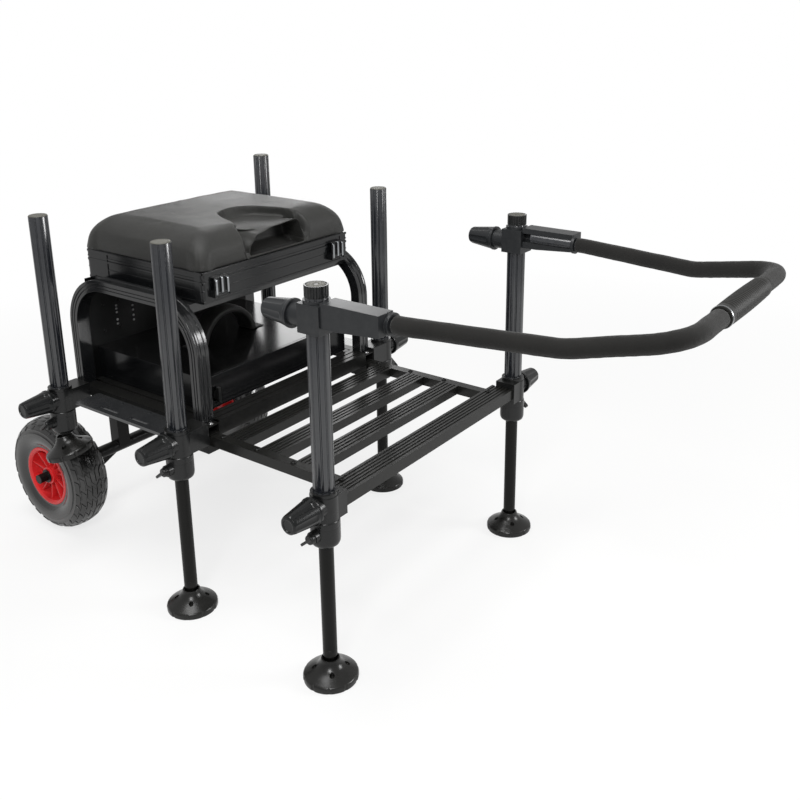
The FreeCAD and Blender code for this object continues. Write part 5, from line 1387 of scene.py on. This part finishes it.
def makeFasteners():
    rivet = makeButton("rivetPattern", trimLook["rivet"], 0.0016)
    setDown(rivet, (0, 0, 0), (math.pi / 2, 0, 0))
    spots = []
    back = 0.348 + seatFront
    for side in (-1, 1):
        spots += [(0.110 * side, back, high) for high in (0.464, 0.474, 0.486, 0.496)]
        spots += [(0.151 * side, back, high) for high in (0.466, 0.475, 0.491, 0.499, 0.506)]
    pieces = [setDown(twin(rivet, f"panelRivet_{at}"), spot) for at, spot in enumerate(spots)]
    dress(joined("panelRivets", *pieces), "screwSteel", "latch_chrome", "seat_frame")
    bpy.data.objects.remove(rivet, do_unlink=True)

    bolt = makeButton("boltPattern", trimLook["bolt"], 0.0030)
    spots = []
    for side in (-1, 1):
        for deep in (-0.0125, 0.376):  # beside each foot of the arches
            spots.append((0.2325 * side, deep + seatFront, 0.3601))
    pieces = [setDown(twin(bolt, f"frameBolt_{at}"), spot) for at, spot in enumerate(spots)]
    dress(joined("frameBolts", *pieces), "screwSteel", "latch_chrome", "seat_frame")
    spots = [(0.2340 * side, deep + seatFront, 0.3421) for side in (-1, 1) for deep in (-0.045, -0.133, -0.221,
                                                                                        -0.330)]
    pieces = [setDown(twin(bolt, f"deckBolt_{at}"), spot) for at, spot in enumerate(spots)]
    dress(joined("deckBolts", *pieces), "frameBlack", "deck_black", "footplate")
    bpy.data.objects.remove(bolt, do_unlink=True)
    print("fasteners: rivets and bolts")


makeMouldings()
makeFasteners()


# ---- ledges inside the side rails, under the edges of the case
ledgeLook = {"from": 0.1985, "to": 0.2190, "front": 0.022, "back": 0.331, "low": 0.3590, "high": 0.3648}


def makeLedges():
    for word, side in (("right", -1), ("left", 1)):
        inner, outer = sorted((ledgeLook["from"] * side, ledgeLook["to"] * side))
        ledge = block("railLedge_" + word, (inner, ledgeLook["front"] + seatFront, ledgeLook["low"]),
                      (outer, ledgeLook["back"] + seatFront, ledgeLook["high"]))
        net = editStart(ledge, "FACE")
        choose(ledge, net, net.faces, lambda face: face.normal.z > 0.9)
        bpy.ops.mesh.inset(thickness=0.0020, depth=0)
        bpy.ops.mesh.inset(thickness=0.0008, depth=-0.0006)
        editEnd()
        dress(softenEdges(ledge, 0.0005), "frameBlack", "frame_black", "seat_frame")
    print("ledges: 2")


makeLedges()

skirtLook = {"from": 0.2015, "to": 0.2175, "back": 0.350, "thick": 0.002, "low": 0.3645, "high": 0.434}


def makeSkirts():
    for word, side in (("right", -1), ("left", 1)):
        inner, outer = sorted((skirtLook["from"] * side, skirtLook["to"] * side))
        back = skirtLook["back"] + seatFront
        strip = block("panelSkirt_" + word, (inner, back - skirtLook["thick"], skirtLook["low"]),
                      (outer, back, skirtLook["high"]))
        net = editStart(strip, "FACE")
        choose(strip, net, net.faces, lambda face: abs(face.normal.y) > 0.9)
        bpy.ops.mesh.inset(thickness=0.0014, depth=0)
        bpy.ops.mesh.inset(thickness=0.0006, depth=-0.0003)
        editEnd()
        dress(softenEdges(strip, 0.0004), "panelBlack", "panel_black", "seat_frame")
    print("skirts: 2")


makeSkirts()
